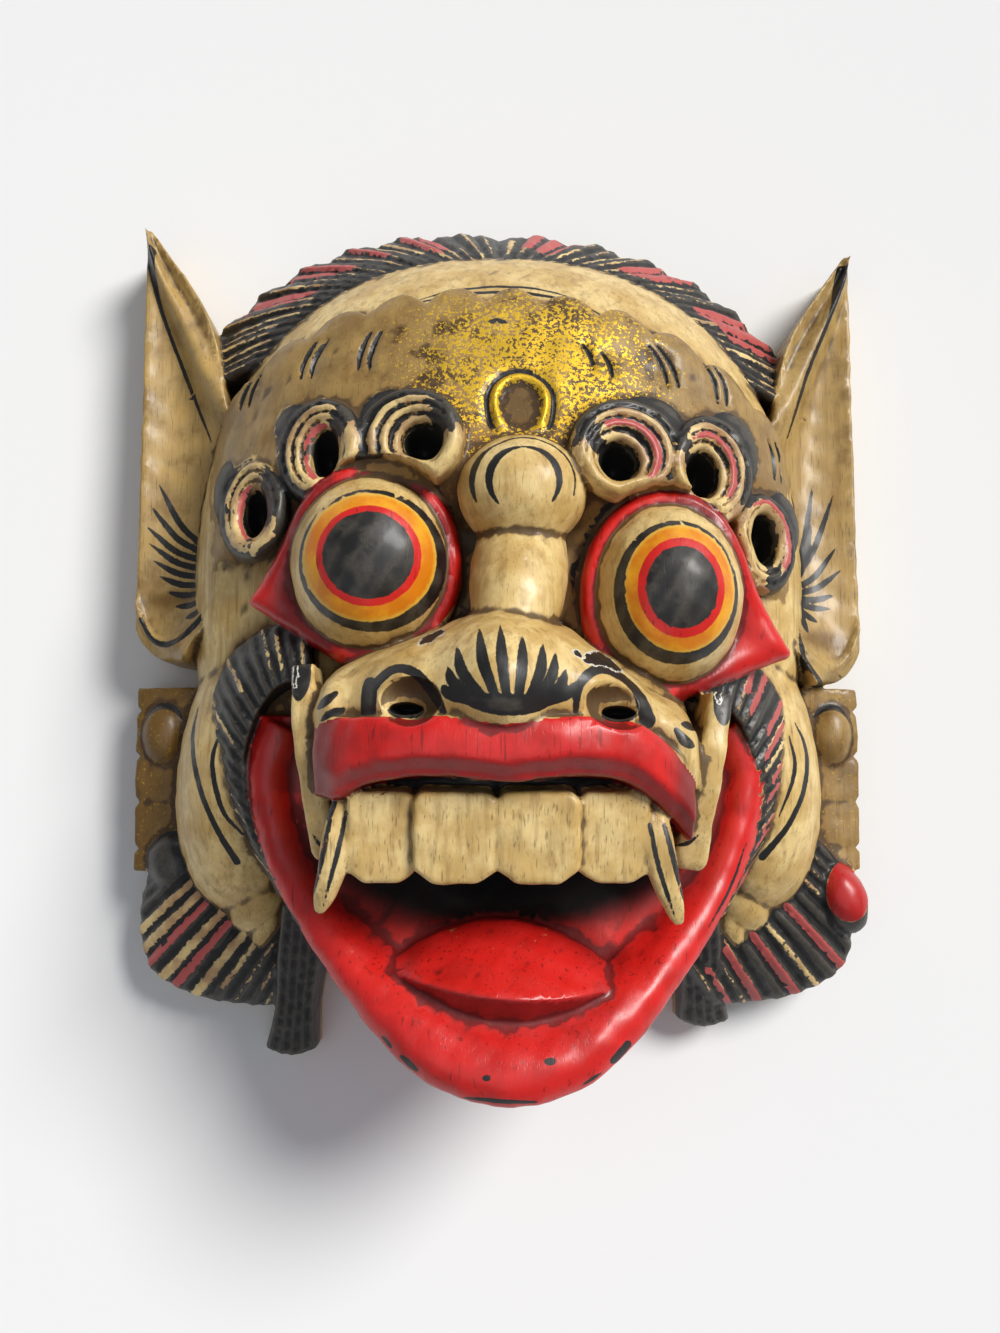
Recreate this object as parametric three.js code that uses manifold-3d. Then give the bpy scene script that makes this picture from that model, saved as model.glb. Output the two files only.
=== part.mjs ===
// Barong mask, carved from one block of light tropical wood and hollowed behind.
//
// Millimetres, +Z up. The mask lies on its flat back with the face up: +X is the
// viewer's right, +Y runs to the hair above the forehead, and -Y to the chin. The origin
// is the middle of its footprint. Every feature is a lump of the same block, so all of
// them are fused into one solid, which the hollow, the mouth and the nostrils are cut from.
import * as THREE from "three";
import { mergeVertices } from "three/addons/utils/BufferGeometryUtils.js";
import Module from "manifold-3d";

const wasm = await Module();
wasm.setup();

// ---- driving dimensions -------------------------------------------------------------
const WIDTH = 220; // over the sawn outer edges of the ears
const HEIGHT = 256; // hair to beard tufts
const DEPTH = 118; // back plane to the ridge of the nose
const WALL = 15; // wood left around the hollow
const LEAN = 0.055; // the carver's right-hand side sits lower: drop per mm of X
const SAW = -6; // lumps reach down past the back plane, and the saw cuts them level
const MIDLINE = 3.5; // brow, bridge and eyes stand this far right of the block's middle

const HALF_W = WIDTH / 2;
const HALF_H = HEIGHT / 2;
const SIDES = [-1, 1];

// The dome of the head: a super-ellipse that swells from its rim to the brow.
const HEAD = { y: 10, rx: 93, ry: 107, rise: 80, rim: 14, power: 2.35, brow: 40, recess: 13 };
const HAIR = { rx: 111, ry: 118.5, inner: 0.93, locks: 27, inside: 37, outside: 15 };
const DIADEM = { top: 78, scallop: 3.4, scallops: 11, proud: 3.2, ring: 8 };
const EYE = { x: 38, y: 5.5, z: 68, r: 21, lid: 4.2, corner: 11, lean: 0.13 };
const NOSE = { y: -19, z: 76, rx: 31, ry: 18.5 };
const LIP = { y: -34, z: 98, halfWidth: 46.5, tall: 9, deep: 12, lean: 0.07 };
const TEETH = { top: -42, bottom: -69, z: 97, widths: [16.5, 20.5, 21, 17], depth: 17 };
const CHIN = { y: -HALF_H + 8, z: 84 };

// ---- small helpers ------------------------------------------------------------------
const rad = THREE.MathUtils.degToRad;
const lerp = THREE.MathUtils.lerp;
const smoothstep = THREE.MathUtils.smoothstep;
const at = (x, y, z) => new THREE.Vector3(x, y, z);

// The height lost or gained by a feature at x because the carving leans.
const drop = (x, lean = LEAN) => -lean * x;

// A closed three.js geometry as a solid that can be joined and cut. A shape mirrored to
// the other side of the face comes in with its faces turned in, so they are turned back.
function solid(geometry) {
  const bare = geometry.clone();
  bare.deleteAttribute("normal");
  bare.deleteAttribute("uv");
  const merged = mergeVertices(bare, 1e-3);
  const build = (triVerts) =>
    new wasm.Manifold(
      new wasm.Mesh({ numProp: 3, vertProperties: merged.attributes.position.array, triVerts }),
    );
  const made = build(new Uint32Array(merged.index.array));
  return made.volume() > 0 ? made : build(new Uint32Array(merged.index.array).reverse());
}

// Moves every vertex of a geometry to where the function puts it.
function mapVertices(geometry, move) {
  const p = geometry.attributes.position;
  const v = new THREE.Vector3();
  for (let i = 0; i < p.count; i++) {
    v.fromBufferAttribute(p, i);
    const to = move(v);
    p.setXYZ(i, to.x, to.y, to.z);
  }
  return geometry;
}

// An ellipsoid, turned about Z (and tipped about Y) in degrees.
function lump(centre, radii, { turn = 0, tip = 0, around = 9, rows = 6 } = {}) {
  const g = new THREE.SphereGeometry(1, around, rows);
  g.rotateX(Math.PI / 2);
  g.scale(...radii);
  g.rotateY(rad(tip));
  g.rotateZ(rad(turn));
  g.translate(centre.x, centre.y, centre.z);
  return solid(g);
}

// A tapering rod with rounded ends along a smooth curve through the points. The section
// has one radius across the face and one in depth, both scaled along the rod by shape(t).
function rod(points, across, deep, shape, { around = 7, rows = 8 } = {}) {
  const curve = new THREE.CatmullRomCurve3(points);
  const g = new THREE.SphereGeometry(1, around, rows);
  const up = at(0, 0, 1);
  return solid(
    mapVertices(g, (v) => {
      const t = Math.acos(THREE.MathUtils.clamp(v.y, -1, 1)) / Math.PI;
      const ring = Math.hypot(v.x, v.z);
      const size = ring < 1e-6 ? 0 : shape(t) / ring;
      const along = curve.getTangent(t);
      const side = up.clone().cross(along).normalize();
      const out = along.clone().cross(side).normalize();
      return curve
        .getPoint(t)
        .addScaledVector(side, v.x * size * across)
        .addScaledVector(out, v.z * size * deep);
    }),
  );
}
const blunt = (t) => Math.pow(Math.sin(Math.PI * t), 0.35);
const fang = (t) => Math.pow(Math.sin(Math.PI * t), 0.35) * (1 - 0.62 * t);

// A slab whose upper face follows place(s, t) -> (x, y, z), and whose lower face lies
// under it at the height floor: hair, ears, pendants and locks are cut this way.
function slab(ns, nt, place, floor = SAW) {
  const g = new THREE.BoxGeometry(1, 1, 1, ns, nt, 1);
  return solid(
    mapVertices(g, (v) => {
      const top = place(v.x + 0.5, v.y + 0.5);
      return at(top.x, top.y, v.z > 0 ? top.z : floor);
    }),
  );
}

// Alternates between a ridge (1) and a groove (0) along a slab of parallel locks.
const ridgeOf = (s, locks) => Math.round(s * locks * 2) % 2;

// A point of a super-ellipse about the middle of the head, at an angle and a share of it.
function ovalPoint(a, share, rx, ry) {
  const bend = 2 / HEAD.power;
  const c = Math.cos(a);
  const s = Math.sin(a);
  return [
    rx * share * Math.sign(c) * Math.abs(c) ** bend,
    HEAD.y + ry * share * Math.sign(s) * Math.abs(s) ** bend,
  ];
}

// ---- head ---------------------------------------------------------------------------
// Height of the bare skull over a point: a dome, set back below the brow for the eyes.
function skull(x, y) {
  const r =
    Math.abs(x / HEAD.rx) ** HEAD.power + Math.abs((y - HEAD.y) / HEAD.ry) ** HEAD.power;
  const face = smoothstep(HEAD.brow - y, 0, 18) * smoothstep(1 - r, 0, 0.6);
  return HEAD.rim + (HEAD.rise - HEAD.rim) * Math.sqrt(Math.max(0, 1 - r)) - HEAD.recess * face;
}

function head() {
  const rows = 10;
  const g = new THREE.SphereGeometry(1, 36, rows);
  g.rotateX(Math.PI / 2);
  return solid(
    mapVertices(g, (v) => {
      const row = Math.round((Math.acos(THREE.MathUtils.clamp(v.z, -1, 1)) / Math.PI) * rows);
      const share = row >= rows - 1 ? rows - row : Math.sin((row / (rows - 2)) * (Math.PI / 2));
      const [x, y] = ovalPoint(Math.atan2(v.y, v.x), share, HEAD.rx, HEAD.ry);
      return at(x, y, row >= rows - 1 ? SAW : skull(x, y));
    }),
  );
}

// The combed hair over the top of the head: slanting grooves cut across a sloping band.
function hair() {
  const from = rad(148);
  const to = rad(32);
  return slab(HAIR.locks * 2, 1, (s, t) => {
    const slant = 0.07 * (t - 0.5) * Math.sign(0.5 - s);
    const ridge = ridgeOf(s, HAIR.locks);
    const outer = 1 + (ridge ? 0 : -0.014);
    const share = t < 0.5 ? HAIR.inner : outer;
    const [x, y] = ovalPoint(
      lerp(from, to, s) + slant,
      share,
      lerp(HEAD.rx + 3, HAIR.rx, t),
      lerp(HEAD.ry + 3, HAIR.ry, t),
    );
    return at(x, y + drop(x, 0.03), lerp(HAIR.inside, HAIR.outside, t) + (ridge ? 1.5 : -1.5));
  });
}

// The diadem across the forehead: a raised step whose upper edge is cut in scallops.
function diadem() {
  const scallops = DIADEM.scallops;
  return slab(scallops * 3, 2, (s, t) => {
    const petal = DIADEM.scallop * Math.abs(Math.sin(Math.PI * scallops * s));
    const x = lerp(-87, 87, s) * lerp(0.97, 1, t) + MIDLINE * (1 - Math.abs(2 * s - 1));
    const bow = Math.sqrt(Math.max(0, 1 - (x / 104) ** 2));
    const y = lerp(18, DIADEM.top + petal, t) * bow + 9 * t + drop(x);
    return at(x, y, skull(x, y) + DIADEM.proud);
  }, 12);
}

// The horseshoe ornament in the middle of the diadem: a raised ring, open below.
function horseshoe() {
  const r = DIADEM.ring;
  const y = 55;
  const z = skull(0, y) + DIADEM.proud - 1;
  const arch = [-50, 0, 45, 90, 135, 180, 230].map((degrees) => {
    const a = rad(degrees);
    return at(MIDLINE + r * Math.cos(a), y + r * Math.sin(a), z + 0.5 - 0.25 * r * Math.sin(a));
  });
  const knob = lump(at(MIDLINE, y - 1, z - 0.5), [4.5, 5.5, 4]);
  return [rod(arch, 2.2, 3, blunt, { around: 5, rows: 10 }), knob];
}

// ---- brows and eyes -----------------------------------------------------------------
// One brow curl: a hood of hair rolled over a deep pit that opens towards the eye.
function curl(x, y, z, r, side, turn) {
  const hood = new THREE.TorusGeometry(r * 0.62, r * 0.4, 5, 10);
  hood.scale(1, 1, 1.25);
  hood.rotateX(rad(16));
  hood.rotateY(rad(side * turn));
  hood.translate(x, y, z);
  const back = lump(at(x, y + 1, z - 7), [r * 0.9, r * 0.9, 7], { around: 8, rows: 4 });
  return [solid(hood), back];
}

function brow(side) {
  const curls = [
    { x: 28, y: 43.5, z: 77, r: 14.5, turn: 4 },
    { x: 52, y: 40.5, z: 68, r: 13.5, turn: 22 },
    { x: 71, y: 25, z: 55, r: 12.5, turn: 40 },
  ];
  return curls.flatMap((c) => {
    const x = side * c.x + MIDLINE * 0.7;
    return curl(x, c.y + drop(x), c.z, c.r, side, c.turn);
  });
}

// The bulging eyeball in its raised, almond-shaped lid.
function eye(side) {
  const x = side * EYE.x + MIDLINE;
  const y = EYE.y + drop(side * EYE.x, EYE.lean);
  const ball = lump(at(x, y, EYE.z), [EYE.r, EYE.r, EYE.r + 1], { around: 16, rows: 8 });
  const lid = new THREE.TorusGeometry(1, EYE.lid / 20, 4, 16);
  mapVertices(lid, (v) => {
    const a = Math.atan2(v.y, v.x);
    const ring = Math.hypot(v.x, v.y) - 1;
    const outwards = Math.max(0, Math.cos(a + rad(22)));
    const reach = EYE.r + 1 + EYE.corner * outwards ** 9 + ring * 20;
    const fall = 12 * outwards ** 3 + 3 * Math.max(0, -Math.sin(a));
    return at(x + side * reach * Math.cos(a), y + reach * Math.sin(a) + 1, EYE.z + 4 - fall + v.z * 30);
  });
  const corner = lump(at(x + side * 21, y - 8, EYE.z - 12), [17, 13, 9], {
    turn: side * -22,
    tip: side * 24,
    around: 8,
    rows: 6,
  });
  return [ball, solid(lid), corner];
}

// ---- nose, lip and teeth ------------------------------------------------------------
function nose() {
  const ridge = [at(4.5, 36, 70), at(4.5, 16, 76), at(3, 2, 84), at(0, -14, 92)];
  const bridge = rod(ridge, 13, 13, blunt, { around: 8, rows: 5 });
  const jewel = lump(at(MIDLINE + 1, 30.5, 79), [15, 14.5, 14.5], { around: 12, rows: 8 });
  const bulb = lump(at(0, NOSE.y, NOSE.z), [NOSE.rx, NOSE.ry, DEPTH - NOSE.z], {
    around: 16,
    rows: 8,
  });
  const muzzle = lump(at(0, -30, 56), [56, 26, 48], { around: 14, rows: 6 });
  const wings = SIDES.flatMap((side) => [
    lump(at(side * 26, -22 + drop(side * 26), 86), [14, 12, 20], { tip: side * 12 }),
    lump(at(side * 42, -26 + drop(side * 42, 0.07), 82), [10, 10, 15], { tip: side * 18 }),
  ]);
  return [bridge, jewel, bulb, muzzle, ...wings];
}

// The upper lip is a band with a flat front that bows forward in the middle.
function upperLip() {
  return slab(10, 4, (s, t) => {
    const k = lerp(-1, 1, s);
    const x = k * LIP.halfWidth;
    const bow = 1 - k * k;
    const round = Math.sin(Math.PI * lerp(0.12, 0.88, t)) ** 0.7;
    const y = LIP.y - 6 + 5 * bow + lerp(-LIP.tall, LIP.tall, t) * lerp(0.72, 1, bow);
    return at(x, y + drop(x, LIP.lean), LIP.z - LIP.deep + 12 * bow + LIP.deep * round);
  }, 70);
}

// One flat-fronted tooth with its lower corners chamfered.
function tooth(x, width) {
  const h = TEETH.top - TEETH.bottom;
  const w = width / 2 - 0.15;
  const c = width * 0.24;
  const outline = new THREE.Shape([
    new THREE.Vector2(-w, h),
    new THREE.Vector2(-w, c * 0.7),
    new THREE.Vector2(-w + c, 0),
    new THREE.Vector2(w - c, 0),
    new THREE.Vector2(w, c * 0.7),
    new THREE.Vector2(w, h),
  ]);
  const g = new THREE.ExtrudeGeometry(outline, {
    depth: TEETH.depth - 3,
    bevelEnabled: true,
    bevelSegments: 1,
    bevelSize: 1.4,
    bevelOffset: -1.4,
    bevelThickness: 3,
    steps: 1,
  });
  const curve = 0.0075 * x * x;
  g.rotateX(rad(8));
  g.translate(x, TEETH.bottom, TEETH.z - TEETH.depth - curve);
  return solid(g);
}

function teeth() {
  const total = TEETH.widths.reduce((a, b) => a + b, 0);
  let left = -total / 2;
  const row = TEETH.widths.map((w) => {
    const x = left + w / 2;
    left += w;
    return tooth(x, w + 0.6);
  });
  const gum = lump(at(0, -43, 74), [42, 12, 17], { around: 12, rows: 6 });
  const fangs = SIDES.map((side) => {
    const points = [
      at(side * 37, -46, 86),
      at(side * 38, -56, 89),
      at(side * 41, -68, 91),
      at(side * 46, -80 + drop(side * 46), 90),
    ];
    return rod(points, 5.4, 6, fang, { around: 8, rows: 8 });
  });
  return [gum, ...row, ...fangs];
}

// The flat tendrils that hang from the corners of the lip over the cheeks.
function tendril(side) {
  const points = [
    at(side * 56, -17 + drop(side * 56), 76),
    at(side * 54.5, -32 + drop(side * 54), 84),
    at(side * 51, -50, 83),
    at(side * 47, -65, 76),
  ];
  return rod(points, 5, 9, blunt, { around: 7, rows: 7 });
}

// ---- lower jaw ----------------------------------------------------------------------
// The crest of the lower lip for one side, from the corner of the mouth to the chin.
function lipCrest(side) {
  return [
    at(side * 60, -25, 58),
    at(side * 69, -33, 53),
    at(side * 69.5, -46, 53),
    at(side * 64, -64, 58),
    at(side * 55, -82, 65),
    at(side * 43, -98, 73),
    at(side * 27, -112, 80),
    at(side * 10, CHIN.y, CHIN.z),
  ];
}

function jaw() {
  const crest = [...lipCrest(-1), ...lipCrest(1).reverse()];
  const lip = rod(crest, 7.5, 8, blunt, { around: 7, rows: 22 });
  const curve = new THREE.CatmullRomCurve3(crest);
  // The wall under the lip: a cup whose brim is the crest, drawn in towards the back.
  const mouthSide = 0.2; // share of the turn that closes the cup under the nose
  const draw = [0, 0.45, 0.86, 1, 0.84, 0.66, 0];
  const brimShare = [0, 0, 0, 1, 0.45, 0, 0];
  const rows = draw.length - 1;
  const heart = at(0, -58, SAW);
  const g = new THREE.SphereGeometry(1, 24, rows);
  g.rotateX(Math.PI / 2);
  const cup = mapVertices(g, (v) => {
    const row = Math.round((Math.acos(THREE.MathUtils.clamp(v.z, -1, 1)) / Math.PI) * rows);
    const a = (Math.atan2(v.y, v.x) / (2 * Math.PI) + 1.25) % 1;
    const round = a / (1 - mouthSide);
    const brim =
      round <= 1
        ? curve.getPoint(round)
        : curve.getPoint(1).lerp(curve.getPoint(0), (a - 1 + mouthSide) / mouthSide);
    if (row === 0) return at(0, -70, 52);
    const z = row < 3 ? lerp(54, brim.z, draw[row] ** 2) : lerp(SAW, brim.z, brimShare[row]);
    return at(lerp(heart.x, brim.x, draw[row]), lerp(heart.y, brim.y, draw[row]), z);
  });
  return [lip, solid(cup)];
}

// The tongue lies on the floor of the mouth: a lens with pointed ends and a sharp keel.
function tongue() {
  const body = slab(12, 4, (s, t) => {
    const k = lerp(-1, 1, s);
    const bow = 1 - k * k;
    const keel = 1 - Math.abs(2 * t - 0.7) / 1.3;
    const y = lerp(-97 - 10 * bow, -95 + 12 * bow, t) + 3 * k * k;
    return at(k * 31 + 1, y, 66 + 18 * bow * keel ** 0.8);
  }, 40);
  const bed = lump(at(0, -92, 48), [40, 24, 22], { around: 14, rows: 6 });
  return [bed, body];
}

// ---- cheeks, ears and pendants --------------------------------------------------------
function cheek(side) {
  return lump(at(side * 68, -40, 22), [26, 60, 31], { turn: side * 10, around: 12, rows: 8 });
}

// A long pointed ear, hollowed along its middle, with its outer edge sawn straight.
function ear(side) {
  const lobe = -13;
  const tip = HALF_H - 6;
  const innerEdge = new THREE.CatmullRomCurve3([
    at(93, lobe, 0),
    at(80, 8, 0),
    at(79, 30, 0),
    at(83, 55, 0),
    at(90, 80, 0),
    at(108, tip, 0),
  ]);
  return slab(3, 11, (s, t) => {
    const y = lerp(lobe, tip, t);
    const inner = innerEdge.getPoint(t).x;
    const rounding = t < 0.1 ? Math.sqrt(1 - ((0.1 - t) / 0.1) ** 2) : 1;
    const outer = Math.max(inner + 1.5, lerp(97, HALF_W, rounding));
    const u = side > 0 ? s : 1 - s;
    const hollow = Math.sin(Math.PI * u) * Math.sin(Math.PI * lerp(0.1, 0.95, t));
    const z = lerp(lerp(38, 24, t), 25 - 4 * t, u) - 6 * hollow;
    return at(side * lerp(inner, outer, u), y + drop(side * 60), z);
  });
}

// The gilt plate of the ear pendant, with a boss, under each ear lobe.
function pendant(side) {
  const plate = slab(1, 8, (s, t) => {
    const u = side > 0 ? s : 1 - s;
    const notch = 1.6 * (Math.round(t * 8) % 2);
    return at(side * lerp(80, HALF_W - notch, u), lerp(-72, -17, t), 20 + 6 * (1 - u));
  });
  const boss = lump(at(side * 101, -31, 19), [7, 10, 7], { around: 10, rows: 6 });
  return [plate, boss];
}

// ---- hair tufts -----------------------------------------------------------------------
// The striped tuft behind the cheek: parallel locks that swing down and outwards.
function tuft(side) {
  const locks = 8;
  const ends = new THREE.CatmullRomCurve3([
    at(106, -72, 17),
    at(108.5, -86, 17),
    at(105, -101, 17),
    at(92, -109, 17),
    at(76, -112, 17),
    at(64, -112, 19),
  ]);
  return slab(locks * 2, 3, (s, t) => {
    const k = side > 0 ? 1 - s : s;
    const ridge = ridgeOf(k, locks);
    const root = at(lerp(84, 46, k), lerp(-52, -86, k), 38);
    const p = root.lerp(ends.getPoint(k), t * (ridge ? 1 : 0.985));
    return at(side * p.x, p.y, p.z + 6 * Math.sin(Math.PI * t) + (ridge ? 1.8 : -1.6));
  });
}

// The short dark tuft beside the chin, cut off square.
function beard(side) {
  const locks = 3;
  const foot = side < 0 ? -HALF_H : -HALF_H + 8;
  return slab(locks * 2, 2, (s, t) => {
    const ridge = ridgeOf(s, locks);
    const y = lerp(foot, -80, t);
    const u = side > 0 ? s : 1 - s;
    const x = lerp(lerp(54, 72, u), lerp(50, 62, u), t);
    return at(side * x, y, lerp(14, 44, t) + (ridge ? 1.5 : -1.2));
  });
}

// The moustache: a grooved fan round the corner of the mouth.
function moustache(side) {
  const locks = 6;
  return slab(locks * 2, 2, (s, t) => {
    const u = side > 0 ? 1 - s : s;
    const ridge = ridgeOf(u, locks);
    const a = rad(lerp(150, -42, u));
    const r = lerp(5, 19, t) * (ridge ? 1 : 0.95);
    const x = side * (60 + r * Math.cos(a));
    return at(x, -33 + r * Math.sin(a) + drop(x), 63 - 16 * t ** 2 + (ridge ? 1.2 : -1));
  }, 20);
}

// ---- cuts -------------------------------------------------------------------------------
function mouth() {
  return [
    lump(at(0, -66, 88), [46, 24, 34], { around: 18, rows: 8 }),
    lump(at(0, -50, 66), [55, 15, 15], { around: 14, rows: 6 }),
  ];
}

function nostril(side) {
  return lump(at(side * 25, -31 + drop(side * 25), 106), [6, 5, 8], { around: 8, rows: 6 });
}

// The hollow for the wearer's face, left open at the back.
const hollow = () =>
  lump(at(0, -2, -6), [74, 92, HEAD.rise - HEAD.recess - WALL + 3], { around: 20, rows: 10 });

// The block that the mask is sawn from: its back, its ears and its foot lie in its faces.
function block() {
  const g = new THREE.BoxGeometry(WIDTH, HEIGHT, DEPTH);
  g.translate(0, 0, DEPTH / 2);
  return solid(g);
}

// ---- the mask ---------------------------------------------------------------------------
const join = (solids) => wasm.Manifold.union(solids);

const face = join([head(), ...jaw(), ...SIDES.map(cheek), ...nose()]).subtract(join(mouth()));
const dressed = join([
  face,
  hair(),
  diadem(),
  ...horseshoe(),
  ...SIDES.flatMap(brow),
  ...SIDES.flatMap(eye),
  ...SIDES.map(ear),
  ...SIDES.flatMap(pendant),
  ...SIDES.map(tuft),
  ...SIDES.map(beard),
  ...SIDES.map(moustache),
  ...SIDES.map(tendril),
  upperLip(),
  ...teeth(),
  ...tongue(),
]);
const carved = dressed
  .subtract(hollow())
  .subtract(join(SIDES.map(nostril)))
  .intersect(block());
// Crumbs of waste wood and pockets closed in between two lumps are left out.
const mask = carved.decompose().reduce((a, b) => (b.volume() > a.volume() ? b : a));

function geometryOf(manifold) {
  const mesh = manifold.getMesh();
  const g = new THREE.BufferGeometry();
  g.setAttribute("position", new THREE.BufferAttribute(Float32Array.from(mesh.vertProperties), 3));
  g.setIndex(new THREE.BufferAttribute(Uint32Array.from(mesh.triVerts), 1));
  g.computeVertexNormals();
  return g;
}

const paintedWood = new THREE.MeshStandardMaterial({
  color: 0xc2a469,
  roughness: 0.45,
  metalness: 0,
});
const maskMesh = new THREE.Mesh(geometryOf(mask), paintedWood);
maskMesh.name = "mask";

const part = new THREE.Group();
part.add(maskMesh);
export default part;
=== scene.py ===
# %% [markdown]
# # A carved and painted barong mask
# The mask is one block of light tropical wood, carved in front, hollowed behind, covered
# with cream gesso and then painted. It is built the way the carver works: rough lumps are
# joined into one block, the mouth and the hollow are cut out, the fine lines are incised,
# and the paint goes on last. Everything stands in the frame of the CAD model.

# %% The frame
import math

import bmesh
import bpy
import numpy as np
from mathutils import Matrix, Vector
from mathutils.bvhtree import BVHTree


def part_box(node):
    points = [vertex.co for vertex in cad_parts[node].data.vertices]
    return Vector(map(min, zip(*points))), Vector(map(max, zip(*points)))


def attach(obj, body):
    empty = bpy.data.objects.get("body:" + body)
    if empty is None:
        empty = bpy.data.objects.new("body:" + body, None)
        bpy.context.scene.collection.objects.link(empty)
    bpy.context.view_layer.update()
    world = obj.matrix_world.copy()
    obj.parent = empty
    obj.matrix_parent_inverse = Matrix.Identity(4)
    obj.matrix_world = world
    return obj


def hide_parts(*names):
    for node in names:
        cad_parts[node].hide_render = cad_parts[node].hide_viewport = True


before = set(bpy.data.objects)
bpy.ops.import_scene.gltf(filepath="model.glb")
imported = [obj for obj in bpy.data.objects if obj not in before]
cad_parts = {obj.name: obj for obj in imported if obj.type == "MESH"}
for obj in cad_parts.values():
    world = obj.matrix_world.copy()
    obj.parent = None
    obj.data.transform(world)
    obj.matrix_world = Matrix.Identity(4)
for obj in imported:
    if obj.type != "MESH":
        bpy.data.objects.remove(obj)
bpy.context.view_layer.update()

LOW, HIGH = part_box("mask")
WIDTH = 220.0
MM = (HIGH.x - LOW.x) / WIDTH
HALF_W = WIDTH / 2
HALF_H = (HIGH.y - LOW.y) / MM / 2
DEPTH = HIGH.z / MM
SIDES = (-1, 1)
print(f"one millimetre is {MM:.5f} m; block {WIDTH:.0f} x {2 * HALF_H:.0f} x {DEPTH:.0f} mm")

# %% [markdown]
# ## Camera, floor and light
# The mask lies on its back on a pale table and is seen from above, from a little below the
# chin. A soft sun through one big window on the upper right makes the highlights, and a
# weak sky lamp and a dim room keep the shadows open. The floor lies a hair below the back, so
# that the two flat faces don't flicker into one another.

# %% Camera
MIDDLE = Vector((0, 0, 30))
SENSOR, LENS = 36.0, 36.189
bpy.context.scene.view_settings.view_transform = "Standard"


def look_down(aim, distance, tilt, pan):
    """The place of a camera that looks at a point, tilted towards the chin and panned left."""
    tilt, pan = math.radians(tilt), math.radians(pan)
    back = Vector((-math.sin(pan), -math.sin(tilt) * math.cos(pan),
                   math.cos(tilt) * math.cos(pan)))
    across = Vector((0, 1, 0)).cross(back).normalized()
    up = back.cross(across)
    place = aim + back * distance
    turn = Matrix((across, up, back)).transposed().to_4x4()
    return Matrix.Translation(place) @ turn


camera_data = bpy.data.cameras.new("camera")
camera_data.sensor_fit = "VERTICAL"
camera_data.sensor_height = SENSOR
camera_data.lens = LENS
camera_data.clip_start = 0.01
camera = bpy.data.objects.new("camera", camera_data)
aim = MIDDLE - Vector((0, 11, 0))
camera.matrix_world = look_down(aim * MM, distance=400 * MM, tilt=5.0, pan=1.3)
bpy.context.scene.collection.objects.link(camera)
bpy.context.scene.camera = camera
print(f"the camera stands at {tuple(round(c / MM) for c in camera.matrix_world.translation)} mm")

# %% Floor and light

def mesh_object(name, bm, scale=1.0):
    """A bmesh in millimetres as an object, with its place in its mesh."""
    bm.transform(Matrix.Scale(scale, 4))
    mesh = bpy.data.meshes.new(name)
    bm.to_mesh(mesh)
    bm.free()
    made = bpy.data.objects.new(name, mesh)
    bpy.context.scene.collection.objects.link(made)
    return made


floor_bm = bmesh.new()
bmesh.ops.create_grid(floor_bm, x_segments=1, y_segments=1, size=9000)
bmesh.ops.translate(floor_bm, verts=floor_bm.verts, vec=(0, 0, -0.2))
floor = mesh_object("floor", floor_bm, MM)


def lamp(name, kind, place, power, colour, **settings):
    """A soft light at a place in millimetres, turned towards the middle of the mask."""
    light = bpy.data.lights.new(name, kind)
    light.energy = power
    light.color = colour
    for key, value in settings.items():
        setattr(light, key, value)
    holder = bpy.data.objects.new(name, light)
    holder.location = Vector(place) * MM
    turn = (Vector(place) - MIDDLE).to_track_quat("Z", "Y")
    holder.rotation_euler = turn.to_euler()
    bpy.context.scene.collection.objects.link(holder)


lamp("window", "SUN", (760, 640, 1000), 3.7, (1.0, 0.985, 0.955), angle=math.radians(24))
lamp("sky", "AREA", (-150, -250, 900), 1.5, (0.93, 0.96, 1.0), shape="SQUARE", size=900 * MM)
world = bpy.data.worlds.new("room")
world.use_nodes = True
room = world.node_tree.nodes["Background"]
room.inputs["Color"].default_value = (0.86, 0.9, 1.0, 1)
room.inputs["Strength"].default_value = 0.22
bpy.context.scene.world = world
print("camera, floor, window and sky are in place")

# %% [markdown]
# ## Lumps of wood
# Each feature of the face starts as a simple lump: a ball, a rod along a curve, a ring, or
# a slab whose upper face follows a formula. It could all be sculpted from one block, but
# lumps are easy to move and to measure. They are bmesh primitives whose vertices are moved
# to their place, as a carver roughs out a form. All sizes here are millimetres.

# %% Measures and curves
# ---- the lumps start at SAW, below the back, and the whole face is a little askew
SAW = -6.0
MIDLINE = 3.5
LEAN = 0.055
RING_TUBE = 0.4
GROUPS = {}


def lerp(a, b, t):
    return a + (b - a) * t


def clamp(x, low=0.0, high=1.0):
    return max(low, min(high, x))


def smooth(x, low, high):
    t = clamp((x - low) / (high - low))
    return t * t * (3 - 2 * t)


def drop(x, lean=LEAN):
    """How far down the face a point at x lies because the carving leans."""
    return -lean * x


def group(name):
    """A fresh bmesh for one more lump of the finish called name."""
    bm = bmesh.new()
    for layer in ("lock", "along"):
        bm.verts.layers.float.new(layer)
    GROUPS.setdefault(name, []).append(bm)
    return bm


def curve(points):
    """A Catmull-Rom curve through points: a function of a share from 0 to 1."""
    points = [Vector(p) for p in points]
    first = points[0] * 2 - points[1]
    last = points[-1] * 2 - points[-2]
    padded = [first, *points, last]
    spans = len(points) - 1

    def at(share):
        place = clamp(share) * spans
        i = min(int(place), spans - 1)
        t = place - i
        a, b, c, d = padded[i:i + 4]
        return 0.5 * (2 * b + (c - a) * t + (2 * a - 5 * b + 4 * c - d) * t * t
                      + (3 * b - a - 3 * c + d) * t ** 3)
    return at


print(f"a curve from 0 to 8 is at {curve([(0, 0), (8, 0)])(0.5).x:.0f} half way")


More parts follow.
